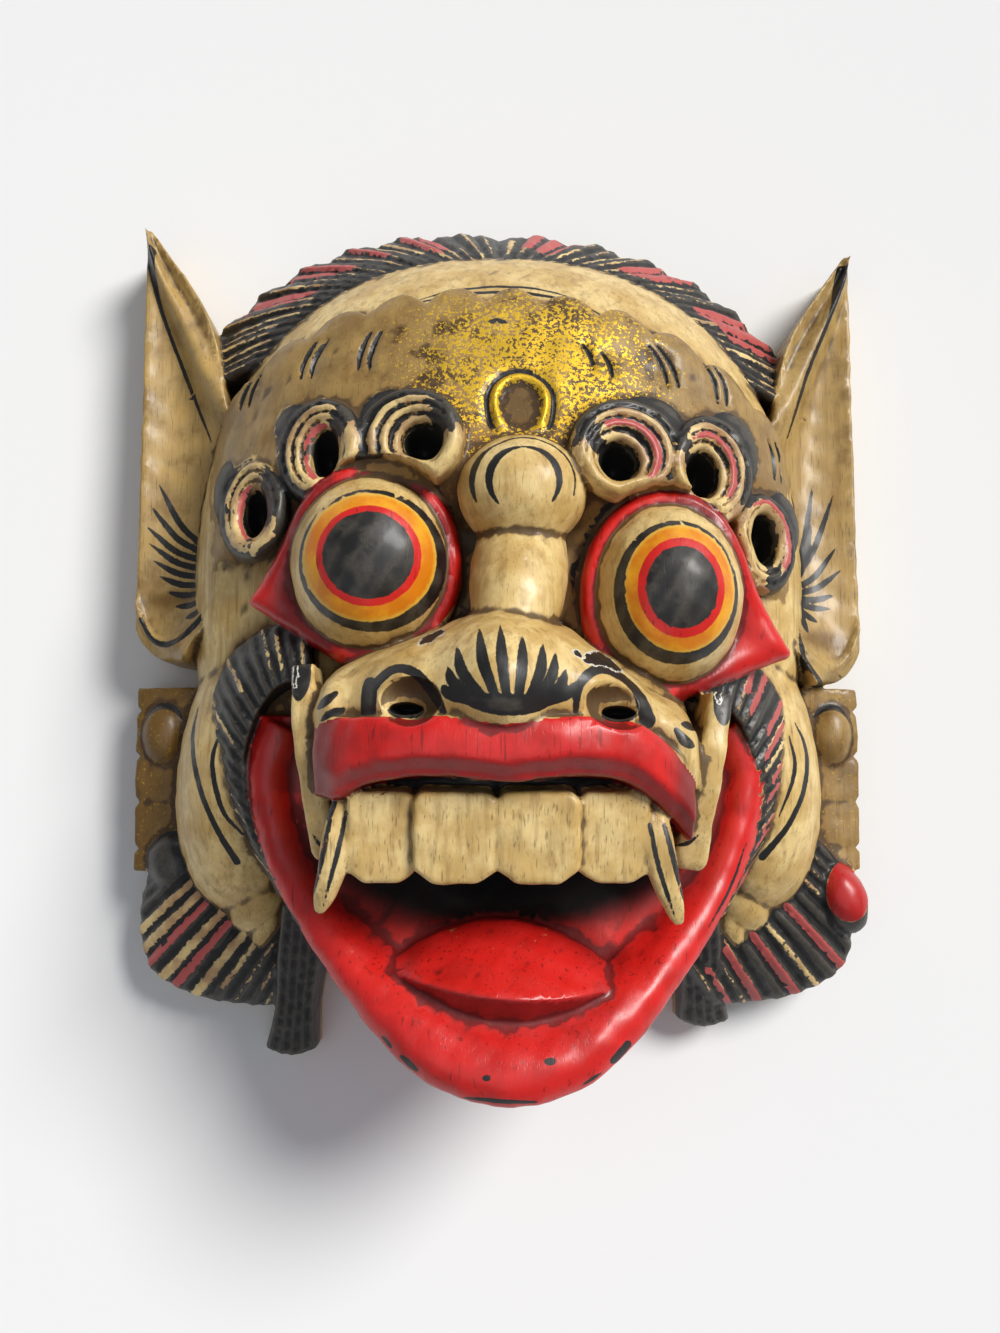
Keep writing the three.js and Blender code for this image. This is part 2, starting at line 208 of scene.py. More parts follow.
# %% Balls and rods
def ball(name, centre, radii, turn=0.0, tip=0.0, sides=32):
    """An ellipsoid, tipped about Y and turned about Z, in degrees."""
    place = (Matrix.Translation(centre) @ Matrix.Rotation(math.radians(turn), 4, "Z")
             @ Matrix.Rotation(math.radians(tip), 4, "Y") @ Matrix.Diagonal((*radii, 1)))
    bmesh.ops.create_uvsphere(
        group(name), u_segments=sides, v_segments=sides // 2, radius=1, matrix=place)


def tell(*names):
    """Prints how many lumps some finishes have so far."""
    print(", ".join(f"{name}: {len(GROUPS[name])} lumps" for name in names))


def blunt(t):
    """The width of a rod with rounded ends at a share of its length."""
    return math.sin(math.pi * t) ** 0.35 if 0 < t < 1 else 0.0


def squared(x, y):
    """A point of a circle pushed out towards the corners of a square."""
    k = max(abs(x), abs(y), 0.1) ** 0.75
    return x / k, y / k


def rod(name, points, across, deep, shape=blunt, sides=20, rings=60, section=None):
    """A rod with rounded ends along a curve; shape(t) scales its section."""
    at = curve(points)
    made = bmesh.ops.create_uvsphere(
        group(name), u_segments=sides, v_segments=rings, radius=1)
    up = Vector((0, 0, 1))
    for v in made["verts"]:
        t = math.acos(clamp(v.co.z, -1, 1)) / math.pi
        ring = math.hypot(v.co.x, v.co.y)
        x, y = (v.co.x / ring, v.co.y / ring) if ring > 1e-6 else (0.0, 0.0)
        size = shape(t) if ring > 1e-6 else 0.0
        along = (at(min(1, t + 0.01)) - at(max(0, t - 0.01))).normalized()
        side = up.cross(along).normalized()
        out = along.cross(side).normalized()
        if section:
            x, y = section(x, y)
        v.co = at(t) + side * (x * size * across) + out * (y * size * deep)


# %% Slabs and rings
def slab(name, ns, nt, place, floor=SAW, locks=0, first=0, under=None):
    """A solid whose upper face follows place(s, t), standing on a flat floor, or as thick as
    under. Where it is cut into locks, each vertex keeps the number of its lock and its place
    along it."""
    bm = group(name)
    bmesh.ops.create_grid(bm, x_segments=ns, y_segments=nt, size=0.5)
    lock, along = (bm.verts.layers.float[k] for k in ("lock", "along"))
    for v in bm.verts:
        v[lock] = first + (v.co.x + 0.5) * locks
        v[along] = v.co.y + 0.5
    raised = bmesh.ops.extrude_face_region(bm, geom=bm.faces[:])
    tops = {g for g in raised["geom"] if isinstance(g, bmesh.types.BMVert)}
    for v in bm.verts:
        x, y, z = place(v.co.x + 0.5, v.co.y + 0.5)
        low = z - under if under else floor
        v.co = (x, y, z if v in tops else low)


def ring(name, inside, outside, height, sides=72, tube=20, wave=None, ridges=0, first=0):
    """A closed ring between two outlines; height(a) gives its foot and its rise."""
    bm = group(name)
    bmesh.ops.create_circle(
        bm, segments=tube, radius=RING_TUBE,
        matrix=Matrix.Translation((1, 0, 0)) @ Matrix.Rotation(math.pi / 2, 4, "X"))
    bmesh.ops.spin(bm, geom=bm.verts[:] + bm.edges[:], cent=(0, 0, 0), axis=(0, 0, 1),
                   angle=2 * math.pi, steps=sides, use_merge=True)
    lock, along = (bm.verts.layers.float[k] for k in ("lock", "along"))
    for v in bm.verts:
        a = math.atan2(v.co.y, v.co.x)
        out, up = (math.hypot(v.co.x, v.co.y) - 1) / RING_TUBE, v.co.z / RING_TUBE
        low, high = Vector(inside(a)), Vector(outside(a))
        foot, rise = height(a)
        share = 0.5 + 0.5 * out
        v[lock] = first + share * ridges
        v[along] = a / (2 * math.pi) + 0.5
        lift = up * rise
        if wave and up > 0:
            lift += wave(share) * min(1.0, up * 3)
        x, y = low.lerp(high, share)
        v.co = (x, y, foot(x, y) + lift)


print("lumps: ball, rod, slab and ring, each in the group of its finish")

# %% [markdown]
# ## Head, cheeks and nose
# The skull is a dome on a super-ellipse, set back below the brow so that the eyes stand
# proud of it. A sphere makes it, because its rings of vertices can be pushed out to any
# outline. The bridge of the nose is a rod. The jewel over it, the muzzle and the cheeks are
# balls sunk in the dome, and the wide base of the nose is a slab that swells towards its back.

# %% Head, cheeks and nose
HEAD_RX, HEAD_RY, HEAD_Y, HEAD_POWER = 93.0, 107.0, 10.0, 2.35
HEAD_FOOT, HEAD_RISE, FACE_SINK = 14, 66, 13
MUZZLE_FOOT = 70


def oval_point(a, share, rx, ry):
    """A point of a super-ellipse about the middle of the head."""
    bend = 2 / HEAD_POWER
    c, s = math.cos(a), math.sin(a)
    return (rx * share * math.copysign(abs(c) ** bend, c),
            HEAD_Y + ry * share * math.copysign(abs(s) ** bend, s))


def skull(x, y):
    """The height of the dome, which is set back where the eyes and the nose stand on it."""
    r = abs(x / HEAD_RX) ** HEAD_POWER + abs((y - HEAD_Y) / HEAD_RY) ** HEAD_POWER
    face = smooth(40 - y, 0, 18) * smooth(1 - r, 0, 0.6)
    return HEAD_FOOT + HEAD_RISE * math.sqrt(max(0, 1 - r)) - FACE_SINK * face


def head():
    made = bmesh.ops.create_uvsphere(group("ground"), u_segments=144, v_segments=72, radius=1)
    for v in made["verts"]:
        share = math.hypot(v.co.x, v.co.y)
        x, y = oval_point(math.atan2(v.co.y, v.co.x), share, HEAD_RX, HEAD_RY)
        v.co = (x, y, skull(x, y) if v.co.z > -1e-4 else SAW)


def lip_line(x):
    """Where the nose meets the upper lip: nearly level, and falling away at both ends."""
    ends = 0.03 * max(0, x - 25) ** 2 + 0.03 * max(0, -40 - x) ** 2
    return -30 - 1.4 * math.exp(-(x / 9) ** 2) - ends


NOSE_BACK = curve([(-50, -25, 86), (-45, -17, 98), (-38, -12.5, 98.5), (-28, -9, 106.5),
                   (-18, -5, 109), (-2, 1, DEPTH), (14, -3, 109.5), (25, -11, 106),
                   (37, -20, 98), (46, -25, 97), (51.5, -33, 85)])


def nose():
    """The bridge, the jewel between the brows, the muzzle and the wide base with its wings."""
    rod("ground", [(4.5, 36, 70), (4.5, 16, 76), (3, 2, 84), (0, -14, 92)], 13, 13)
    ball("ground", (4.8, 31, 79), (17.3, 15.2, 15), sides=40)
    ball("ground", (0, -30, 56), (52, 25, 44), sides=48)

    def place(s, t):
        back = NOSE_BACK(s)
        y = lerp(lip_line(back.x) - 0.6, back.y, t)
        if t < 0.3:
            swell = 1 - 0.1 * (1 - t / 0.3) ** 2
        else:
            swell = (1 - ((t - 0.3) / 0.7) ** 2.2) ** 0.55
        return back.x, y, lerp(MUZZLE_FOOT, back.z, swell)
    slab("ground", 120, 40, place, floor=60)


head()
nose()
for side in SIDES:
    ball("ground", (side * 69, -36, 22), (26, 50, 31), turn=side * 12, sides=40)
tell("ground")

# %% [markdown]
# ## Jaw, lips and tongue
# The jaw is a cup that is drawn in towards the back: a sphere whose rings follow the lip's
# edge, which is drawn once as a curve. The lower lip is a bowed slab on its brim, from one
# corner of the mouth round the chin to the other, and so keeps to the same curve. The tongue
# is a lens with a keel across it, and the upper lip is a slab that hangs under the nose.

# %% Jaw and lower lip
MOUTH_X, MOUTH_Y, MOUTH_FLOOR = 1.5, -58, 56
LIP_TURN, LIP_WIDTH, CHIN_WIDTH = 0.8, 16.5, 21.0
JAW_EDGE = [(68, -27, 56), (72, -42, 55), (69.5, -58, 56), (64, -72, 58), (55.3, -86, 63),
            (44.2, -100, 70), (31.2, -114, 77), (17.5, -123.5, 81)]


def jaw_edge():
    """The sharp outer edge of the lower lip, from the left corner round the chin."""
    left = [(MOUTH_X - px, py, pz) for px, py, pz in JAW_EDGE]
    right = [(MOUTH_X + px, py, pz) for px, py, pz in JAW_EDGE]
    return curve([*left, (MOUTH_X, -HALF_H + 0.8, 83), *right[::-1]])


def jaw():
    """A cup: from its floor out to the brim, down its outside and along the back."""
    at = jaw_edge()
    draw = [(0, 0), (0.45, 0), (0.86, 0), (1, 1), (0.88, 0.45), (0.7, 0), (0, 0)]
    last = len(draw) - 1
    made = bmesh.ops.create_uvsphere(group("red"), u_segments=96, v_segments=48, radius=1)
    for v in made["verts"]:
        place = math.acos(clamp(v.co.z, -1, 1)) / math.pi * last
        i = min(int(place), last - 1)
        share, height = (lerp(p, q, place - i) for p, q in zip(draw[i], draw[i + 1]))
        a = (math.atan2(v.co.y, v.co.x) / (2 * math.pi) + 1.25) % 1
        if a <= LIP_TURN:
            brim = at(a / LIP_TURN)
        else:
            brim = at(1).lerp(at(0), (a - LIP_TURN) / (1 - LIP_TURN))
        inner, outer = lerp(MOUTH_FLOOR, brim.z, share ** 2), lerp(SAW, brim.z, height)
        v.co = (brim.x * share, lerp(MOUTH_Y, brim.y, share), inner if place < 3 else outer)


def lower_lip():
    """A bowed lip that slopes from the edge of the jaw into the mouth, widest at the chin."""
    at = jaw_edge()

    def place(s, t):
        p = at(s)
        inwards = Vector((MOUTH_X - p.x, -60 - p.y, 0)).normalized()
        wide = lerp(LIP_WIDTH, CHIN_WIDTH, smooth(-p.y, 98, 122))
        rise = 5.0 * math.sin(math.pi * t ** 0.85) - 5.5 * t * t
        return p.x + inwards.x * wide * t, p.y + inwards.y * wide * t, p.z + rise
    slab("red", 200, 28, place, under=9)


jaw()
lower_lip()
tell("red")

# %% Tongue and upper lip
TONGUE_X, TONGUE_HALF, TONGUE_LEAN, KEEL = 1, 32.5, 0.065, 0.45


def tongue_y(x, bow, t):
    """Where a share t of the tongue lies on the face, from its lower to its upper edge."""
    return lerp(-96.5 - 17.5 * bow, -96 + 14 * bow, t) + drop(x, TONGUE_LEAN)


def tongue():
    def place(s, t):
        k = lerp(-1, 1, s)
        bow = 1 - k * k
        keel = min(t / KEEL, (1 - t) / (1 - KEEL))
        x = k * TONGUE_HALF + TONGUE_X
        return x, tongue_y(x, bow, t), 68 + 19.5 * bow ** 0.8 * keel ** 0.9
    slab("tongue", 70, 40, place, floor=40)


def upper_lip():
    def place(s, t):
        x = lerp(-48, 47.5, s)
        tall = 14.2 + 2 * smooth(abs(x), 20, 40) + 3.5 * math.exp(-((x + 42) / 5) ** 2)
        y = lip_line(x) - tall * (1 - t) + 0.2
        z = 112 - 18 * abs(x / 48) ** 3 - 5 * (1 - smooth(t, 0, 0.4)) - 0.8 * smooth(t, 0.7, 1)
        return x, y, z
    slab("red", 110, 30, place, floor=MUZZLE_FOOT)


tongue()
upper_lip()
tell("red", "tongue")

# %% [markdown]
# ## Teeth and fangs
# Four flat-fronted teeth with chamfered corners stand side by side on the gum. A tooth is
# an outline that is extruded and bevelled, as it is cut with a flat chisel; a ball would
# look too soft. The fangs are rods with a squarish section that thin towards their tips,
# and two straps hang from the wings of the nose past the corners of the lip.

# %% Teeth and fangs
TOOTH_WIDTHS = (16.4, 20.6, 20.4, 17.4)
TOOTH_HEIGHT, TOOTH_DEPTH, TOOTH_TILT, TOOTH_ROUND = 23.0, 17.0, 8, 1.3
ROW_LEFT, ROW_FOOT, ROW_FRONT = -39.2, -68.4, 97
FANGS = ([(-38.5, -46, 86), (-41, -56, 89), (-43.2, -67, 90), (-47, -78.5, 87)],
         [(36, -47, 88), (37, -57, 91), (39.8, -69, 91), (44, -81.5, 88)])


def tooth(x, width):
    bm = group("teeth")
    w, h, c = width / 2 - 0.1, TOOTH_HEIGHT, width * 0.24
    outline = [(-w + c * 0.4, h), (-w, h - c * 0.5), (-w, c * 0.7), (-w + c, 0), (w - c, 0),
               (w, c * 0.7), (w, h - c * 0.5), (w - c * 0.4, h)]
    verts = [bm.verts.new((px, py, 0)) for px, py in outline]
    face = bm.faces.new(verts)
    raised = bmesh.ops.extrude_face_region(bm, geom=[face])
    tops = [g for g in raised["geom"] if isinstance(g, bmesh.types.BMVert)]
    bmesh.ops.translate(bm, verts=tops, vec=(0, 0, TOOTH_DEPTH))
    edges = [e for e in bm.edges if any(v in tops for v in e.verts)]
    bmesh.ops.bevel(bm, geom=edges, offset=TOOTH_ROUND, offset_type="OFFSET", affect="EDGES",
                    segments=3, profile=0.5, material=-1)
    place = Matrix.Translation((x, ROW_FOOT, ROW_FRONT - TOOTH_DEPTH - 0.004 * x * x))
    bmesh.ops.transform(bm, matrix=place @ Matrix.Rotation(math.radians(TOOTH_TILT), 4, "X"),
                        verts=bm.verts)


def teeth():
    left = ROW_LEFT
    for width in TOOTH_WIDTHS:
        tooth(left + width / 2, width + 0.6)
        left += width
    for points in FANGS:
        rod("teeth", points, 5.0, 5.4, lambda t: blunt(t) * (1 - 0.35 * t), section=squared)


teeth()
tell("teeth")

# %% Straps beside the mouth
STRAPS = ([(-52.3, -15, 82), (-51, -30, 89), (-48.8, -46, 87), (-46.2, -65, 80)],
          [(56, -22.5, 86), (53.3, -36, 90), (51, -50, 88), (47.5, -68, 80)])


def strap(points):
    """A flat band that hangs from the wing of the nose past the corner of the lip."""
    at = curve(points)

    def place(s, t):
        p = at(t)
        along = (at(min(1, t + 0.01)) - at(max(0, t - 0.01))).normalized()
        aside = Vector((0, 0, 1)).cross(along).normalized()
        half = 3.0 + 0.5 * t
        if p.x > 0:
            half += 1.6 * smooth(t, 0.75, 1)
        rounding = math.sqrt(1 - (max(0, t - 0.93) / 0.07) ** 2 * 0.6)
        k = lerp(-1, 1, s)
        p += aside * (k * half * rounding)
        return p.x, p.y, p.z - 1.0 * k ** 4
    slab("tendril", 14, 70, place, floor=62)


for points in STRAPS:
    strap(points)
tell("tendril")

# %% [markdown]
# ## Eyes and brow curls
# Each eye is a ball in a raised, almond-shaped lid. Over it hang three rolled curls: a
# ring of hair between the pit and the outline of the curl, grooved round and round. A spun
# ring fits both, because its inner and outer edge can each follow an outline of their own.
# The pit of a curl is a ball of its own, which is cut out of the block later.

# %% Eyes in their lids
EYES = {-1: Vector((-35.4, 13.0, 68)), 1: Vector((43.8, 5.0, 68))}
EYE_RADII = {-1: (22.0, 24.3), 1: (21.0, 25.3)}
CORNERS = {-1: (33, -16), 1: (36, -24)}


def eye(side):
    """A ball in a narrow lid that runs out to a pointed corner."""
    centre, (rx, ry), (far, lean) = EYES[side], EYE_RADII[side], CORNERS[side]
    ball("eyeball", centre, (rx, ry, 23.5), sides=72)
    lean = math.radians(lean)
    half = math.acos(rx / far)

    def oval(a):
        return 1 / math.hypot(math.cos(a) / rx, math.sin(a) / ry)

    def point(a, out):
        return centre.x + side * out * math.cos(a), centre.y + out * math.sin(a)

    def inside(a):
        return point(a, oval(a) - 2.5)

    def outside(a):
        out = oval(a) / math.cos(max(0, half - abs(a - lean)))
        return point(a, out + 2.3 + 1.4 * max(0, -math.sin(a)))

    def height(a):
        fall = 9 * max(0, math.cos(a - lean)) ** 3 + 2 * max(0, -math.sin(a))
        return (lambda x, y: centre.z + 4 - fall), 5.5
    ring("red", inside, outside, height, sides=140, tube=24)


for side in SIDES:
    eye(side)
tell("eyeball", "red")


# %% Curls over the brow
def clear_of_eye(side, x, y, gap=3.0):
    """A point of a curl, moved out of the eye if it lies over it."""
    centre, (rx, ry) = EYES[side], EYE_RADII[side]
    dx, dy = x - centre.x, y - centre.y
    near = math.hypot(dx / (rx + gap), dy / (ry + gap))
    return (x, y) if near > 1 else (centre.x + dx / near, centre.y + dy / near)


# ---- the ridges of a curl are numbered from a multiple of CURL_STEP
CURL_STEP = 10
CURLS = [
    # side, pit centre, pit radii, outline centre, outline radii, height, ridges
    (-1, (-21.5, 43.5), (5.0, 4.8), (-25.5, 45.0), (15.0, 14.5), 76, 4),
    (-1, (-48.0, 42.5), (3.8, 6.5), (-50.0, 44.0), (12.5, 14.8), 67, 4),
    (-1, (-68.5, 28.5), (3.4, 6.5), (-69.5, 30.5), (11.0, 15.5), 55, 4),
    (1, (30.0, 38.5), (5.0, 5.2), (33.0, 42.5), (16.0, 14.5), 76, 4),
    (1, (53.5, 37.0), (4.4, 6.2), (57.0, 39.5), (12.8, 15.5), 67, 4),
    (1, (73.0, 22.0), (3.8, 7.0), (73.5, 21.0), (10.5, 14.5), 55, 3),
]


def curl(side, pit, pit_r, out, out_r, z, ridges, first):
    """A grooved ring on a ball of its own, with a hood behind it and a pit in it."""
    slope = 0.9 * (out[0] - MIDLINE) / 90

    def foot(x, y):
        return z + 2 - slope * (x - out[0]) - 0.12 * (y - out[1])

    def wave(share):
        groove = abs((share * ridges) % 1 - 0.5) * 2
        return -3.4 * smooth(groove, 0.4, 0.95)

    def edge(middle, radii):
        return lambda a: clear_of_eye(side, middle[0] + radii[0] * math.cos(a),
                                      middle[1] + radii[1] * math.sin(a))
    ring("curl", edge(pit, pit_r), edge(out, out_r), lambda a: (foot, 7.0), sides=110, tube=72,
         wave=wave, ridges=ridges, first=first)
    ball("curl", (out[0], out[1] + 2, z - 10), (out_r[0] * 0.9, out_r[1] * 0.85, 8.5))
    ball("hood", (out[0] + side * 2, out[1] + 5.5, z - 8.5),
         (out_r[0] * 1.02, out_r[1] * 0.92, 11))
    ball("pit", (pit[0], pit[1], z + 8), (pit_r[0] * 1.05, pit_r[1] * 1.05, 16))


for number, values in enumerate(CURLS):
    curl(*values, first=CURL_STEP * number)
tell("curl", "hood", "pit")

# %% [markdown]
# ## Diadem, hair, ears and pendants
# The diadem is a raised step over the brow with a scalloped upper edge. Hair and tufts are
# slabs of parallel locks: every lock is a round ridge between two cut grooves. One formula
# for the whole slab is shorter than an object for each lock, and its ridges run together at
# the roots as carved ones do. The ears are hollowed leaves and the pendants flat blocks.

# %% Diadem and crown of hair
SCALLOPS = 11
CROWN_LOCKS = 46
LOCK_CELLS = 14


def ridge(share, locks, deep):
    """The height of a lock across its width: round on top, cut sharply at its edges."""
    return deep * (math.sin(math.pi * ((share * locks) % 1)) ** 0.6 - 1)


def hair(locks, rows, place, first=0, floor=SAW):
    """A slab of parallel locks, numbered from first."""
    slab("hair", locks * LOCK_CELLS, rows, place, floor, locks, first)


def diadem():
    def place(s, t):
        petal = 5.2 * abs(math.sin(math.pi * SCALLOPS * s)) ** 0.8
        x = lerp(-87, 87, s) * lerp(0.97, 1, t) + MIDLINE * (1 - abs(2 * s - 1))
        bow = math.sqrt(max(0, 1 - (x / 104) ** 2))
        y = lerp(18, 78 + petal, t) * bow + 9 * t + drop(x)
        flute = 0.8 * abs(math.sin(math.pi * SCALLOPS * s)) * smooth(t, 0.5, 0.9)
        rise = 3.4 * smooth(t, 0, 0.15) * smooth(min(s, 1 - s), 0, 0.04)
        return x, y, skull(x, y) + rise + flute + 2.0 * smooth(t, 0.78, 0.97)
    slab("gold", 165, 50, place, floor=12)


def crown():
    def place(s, t):
        angle = lerp(157, 23, s)
        away = 90 - angle
        sweep = 17 * (1 - math.exp(-abs(away) / 24))
        angle += math.copysign(sweep * (1 - t), away)
        share = lerp(0.91, 1 + 0.008 * math.sin(s * 97), t)
        x, y = oval_point(math.radians(angle), share, lerp(96, 111, t), lerp(110, 118.5, t))
        z = lerp(37, 15, t ** 1.3) + ridge(s, CROWN_LOCKS, 3.0)
        z -= 0.7 * (math.sin(2 * math.pi * s * CROWN_LOCKS * 2) > 0.3)
        return x, y + drop(x, 0.03), z
    hair(CROWN_LOCKS, 24, place)


diadem()
crown()
tell("gold", "hair")

# %% Ears and pendants
EAR_LOW, EAR_HIGH = -13, 122
BOSS = (101, -31)


def ear(side):
    """A hollowed leaf with a folded edge, and a raised brim round the concha at its foot."""
    inner_edge = curve([(93, 0, 0), (80, 0, 0), (79, 0, 0), (83, 0, 0), (90, 0, 0), (108, 0, 0)])

    def place(s, t):
        y = lerp(EAR_LOW, EAR_HIGH, t)
        inner = inner_edge(t).x
        rounding = math.sqrt(1 - ((0.1 - t) / 0.1) ** 2) if t < 0.1 else 1
        outer = max(inner + 1.5, lerp(97, HALF_W, rounding))
        u = s if side > 0 else 1 - s
        hollow = math.sin(math.pi * u) * math.sin(math.pi * lerp(0.1, 0.95, t))
        z = lerp(lerp(38, 24, t), 25 - 4 * t, u) - 6 * hollow
        fold = clamp((t - 0.5) / 0.5) * 0.75
        z += 5.0 * smooth(t, 0.5, 0.65) * smooth(0.28 - abs(u - fold), 0, 0.28)
        brim = -8 + 14 * abs(2 * u - 1) ** 3
        z += 1.8 * smooth(3.2 - abs(y - brim), 0, 3) * (1 - smooth(t, 0.2, 0.3))
        return side * lerp(inner, outer, u), y + drop(side * 60), z
    slab("ear", 40, 130, place)


def pendant(side):
    def place(s, t):
        u = s if side > 0 else 1 - s
        notch = 1.6 * (1 - smooth(abs((t * 4) % 1 - 0.5), 0.0, 0.12))
        return side * lerp(80, HALF_W - notch, u), lerp(-72, -17, t), 20 + 6 * (1 - u)
    slab("pendant", 12, 60, place)
    ball("pendant", (side * BOSS[0], BOSS[1], 19), (7, 10, 7))


for side in SIDES:
    ear(side)
    pendant(side)
tell("ear", "pendant")

# %% [markdown]
# ## Tufts, beards and moustaches
# Behind the jaw two tufts spread sideways, two narrow beards hang down, and a fan of short
# locks lies over each corner of the mouth. They are slabs of locks too, and each lock has a
# number, so that the paint can tell the locks apart: TUFT, BEARD and FAN are the numbers of
# the first ones on the left and on the right.

# %% Tufts, beards and moustaches
TUFT_LOCKS, BEARD_LOCKS, FAN_LOCKS = 14, 5, 20
TUFT, BEARD, FAN = {-1: 100, 1: 120}, {-1: 140, 1: 150}, {-1: 160, 1: 180}
TUFT_ENDS = curve([(106, -72, 17), (108.5, -86, 17), (105, -101, 17), (92, -109, 17),
                   (76, -112, 17), (64, -112, 19)])


def tuft(side):
    def place(s, t):
        k = 1 - s if side > 0 else s
        root = Vector((lerp(84, 46, k), lerp(-52, -86, k), 31))
        p = root.lerp(TUFT_ENDS(k), t)
        p.z += 5 * math.sin(math.pi * t) + ridge(k, TUFT_LOCKS, 3.2)
        return side * p.x, p.y, p.z
    hair(TUFT_LOCKS, 30, place, TUFT[side])


def beard(side):
    foot = -HALF_H if side < 0 else -HALF_H + 8

    def place(s, t):
        u = 1 - s if side > 0 else s
        waist = math.sin(math.pi * clamp(t * 1.6))
        x = lerp(lerp(55, 71, u), lerp(50, 62, u), t) + 2.5 * (0.5 - u) * waist
        low = foot + 2.5 * (2 * u - 1) ** 2
        return side * x, lerp(low, -80, t), lerp(12, 44, t) + ridge(u, BEARD_LOCKS, 3.0)
    hair(BEARD_LOCKS, 30, place, BEARD[side])


FAN_INNER = curve([(52, -20, 71), (60, -22, 68), (66, -28, 63), (70.5, -39, 59), (70.5, -52, 57),
                   (66, -66, 57), (58, -80, 60)])
FAN_OUTER = curve([(53, -5, 64), (66, -6, 58), (78, -15, 50), (82.5, -30, 46), (79, -48, 47),
                   (71.5, -64, 49), (61.5, -80, 53)])


def moustache(side):
    """A fan of short locks over the corner of the mouth that runs on down the jaw."""
    def place(s, t):
        u = 1 - s if side > 0 else s
        inner, outer = FAN_INNER(clamp(u + 0.07 * smooth(u, 0, 0.5))), FAN_OUTER(u)
        p = inner.lerp(outer, t)
        z = p.z + 2.5 * math.sin(math.pi * t) + ridge(u, FAN_LOCKS, 2.8)
        return side * p.x, p.y + drop(side * p.x, 0.045), z
    hair(FAN_LOCKS, 20, place, FAN[side], floor=30)


def petals(side):
    """The scalloped lower edge of the cheek, which hides the roots of the tuft."""
    edge = curve([(91, -53, 24), (86, -64, 26), (79, -76, 26), (71, -90, 25)])
    for i in range(7):
        p = edge(i / 8)
        ball("ground", (side * p.x, p.y, p.z), (3.8, 3.6, 8), turn=side * 35, sides=24)
    for centre, radii in (((74, -62, 26), (14, 17, 13)), ((70, -76, 25), (10, 15, 12)),
                          ((67.5, -84, 23), (6, 12, 9.5))):
        ball("ground", (side * centre[0], *centre[1:]), radii, turn=side * 24, sides=40)


for side in SIDES:
    tuft(side)
    beard(side)
    moustache(side)
    petals(side)
ball("volute", (-96, -69, 18), (10, 10, 11), sides=32)
ball("volute", (103.5, -80, 20), (7.5, 11.5, 10), turn=25, sides=32)
for name, lumps in GROUPS.items():
    print(f"{name}: {len(lumps)} lumps, {sum(len(bm.verts) for bm in lumps)} vertices")

# %% [markdown]
# ## One block
# The lumps overlap, so a voxel remesh melts them into one closed skin, which a boolean union
# of so many lumps would be slow to do. A manifold boolean cuts the mouth, the nostrils, the
# pits of the curls and the hollow for the wearer's face, and trims the mask to its block.

# %% Tools for joining and cutting
VOXEL = 0.68
WALL = 15.0
BOWL = (0, -2, -6)
BOWL_RADII = (74, 92, HEAD_FOOT + HEAD_RISE - FACE_SINK - WALL + 3)


def applied(target, kind, **settings):
    """Adds a modifier, sets it and applies it to the object's mesh."""
    modifier = target.modifiers.new(kind.lower(), kind)
    for key, value in settings.items():
        setattr(modifier, key, value)
    graph = bpy.context.evaluated_depsgraph_get()
    result = bpy.data.meshes.new_from_object(target.evaluated_get(graph))
    target.modifiers.clear()
    target.data = result


def joined(name, meshes):
    """Several meshes as one object."""
    whole = bmesh.new()
    for mesh in meshes:
        whole.from_mesh(mesh)
    return mesh_object(name, whole)


def lumps_of(*names):
    """The lumps of some groups as meshes, with their faces turned outwards."""
    made = []
    for bm in (bm for name in names for bm in GROUPS[name]):
        bmesh.ops.recalc_face_normals(bm, faces=bm.faces)
        mesh = bpy.data.meshes.new("lump")
        bm.to_mesh(mesh)
        made.append(mesh)
    return made


def cut(target, tool, operation="DIFFERENCE"):
    """A manifold boolean; the tool isn't needed afterwards."""
    applied(target, "BOOLEAN", object=tool, operation=operation, solver="MANIFOLD")
    bpy.data.objects.remove(tool)
    print(f"{operation.lower()}: {len(target.data.polygons)} faces left")


def melt(target, voxel):
    applied(target, "REMESH", mode="VOXEL", voxel_size=voxel, adaptivity=0)
    print(f"{target.name}: {len(target.data.polygons)} faces at {voxel} mm")


print(f"voxels of {VOXEL} mm; the wood round the hollow is about {WALL:.0f} mm thick")


# %% Joining and cutting
def nostril_at(side):
    """The middle of a nostril on the face."""
    return side * 26 + 1.6, -26 - 0.4 * side


ball("mouth", (-1, -66, 88), (46, 24, 34), sides=64)
ball("mouth", (0, -50, 66), (55, 15, 15), sides=64)
rough = joined("rough", lumps_of("ground", "red"))
melt(rough, VOXEL)
cut(rough, joined("mouth_tool", lumps_of("mouth")))
ball("mouth", (0, -43, 74), (42, 12, 17), sides=40)
dressing = lumps_of("tongue", "teeth", "tendril", "eyeball", "curl", "gold", "hair", "ear",
                    "pendant", "volute", "hood")
mask = joined("mask_carved", [rough.data, lumps_of("mouth")[-1], *dressing])
bpy.data.objects.remove(rough)
melt(mask, VOXEL)
applied(mask, "SMOOTH", factor=0.5, iterations=2)

for side in SIDES:
    across, up = nostril_at(side)
    ball("nostril", (across, up - 0.4, 109 - side), (9.0, 6.4, 8.5), tip=side * 14)
    ball("nostril", (across, up - 2.0, 101 - side), (4.3, 1.7, 8))
ball("hollow", BOWL, BOWL_RADII, sides=96)
block_bm = bmesh.new()
bmesh.ops.create_cube(block_bm, size=1, matrix=Matrix.Translation((0, 0, DEPTH / 2))
                      @ Matrix.Diagonal((WIDTH, 2 * HALF_H, DEPTH, 1)))
for mesh in lumps_of("nostril"):
    cut(mask, joined("nostril_tool", [mesh]))
cut(mask, joined("pit_tool", lumps_of("pit")))
cut(mask, joined("hollow_tool", lumps_of("hollow")))
cut(mask, mesh_object("block", block_bm), "INTERSECT")

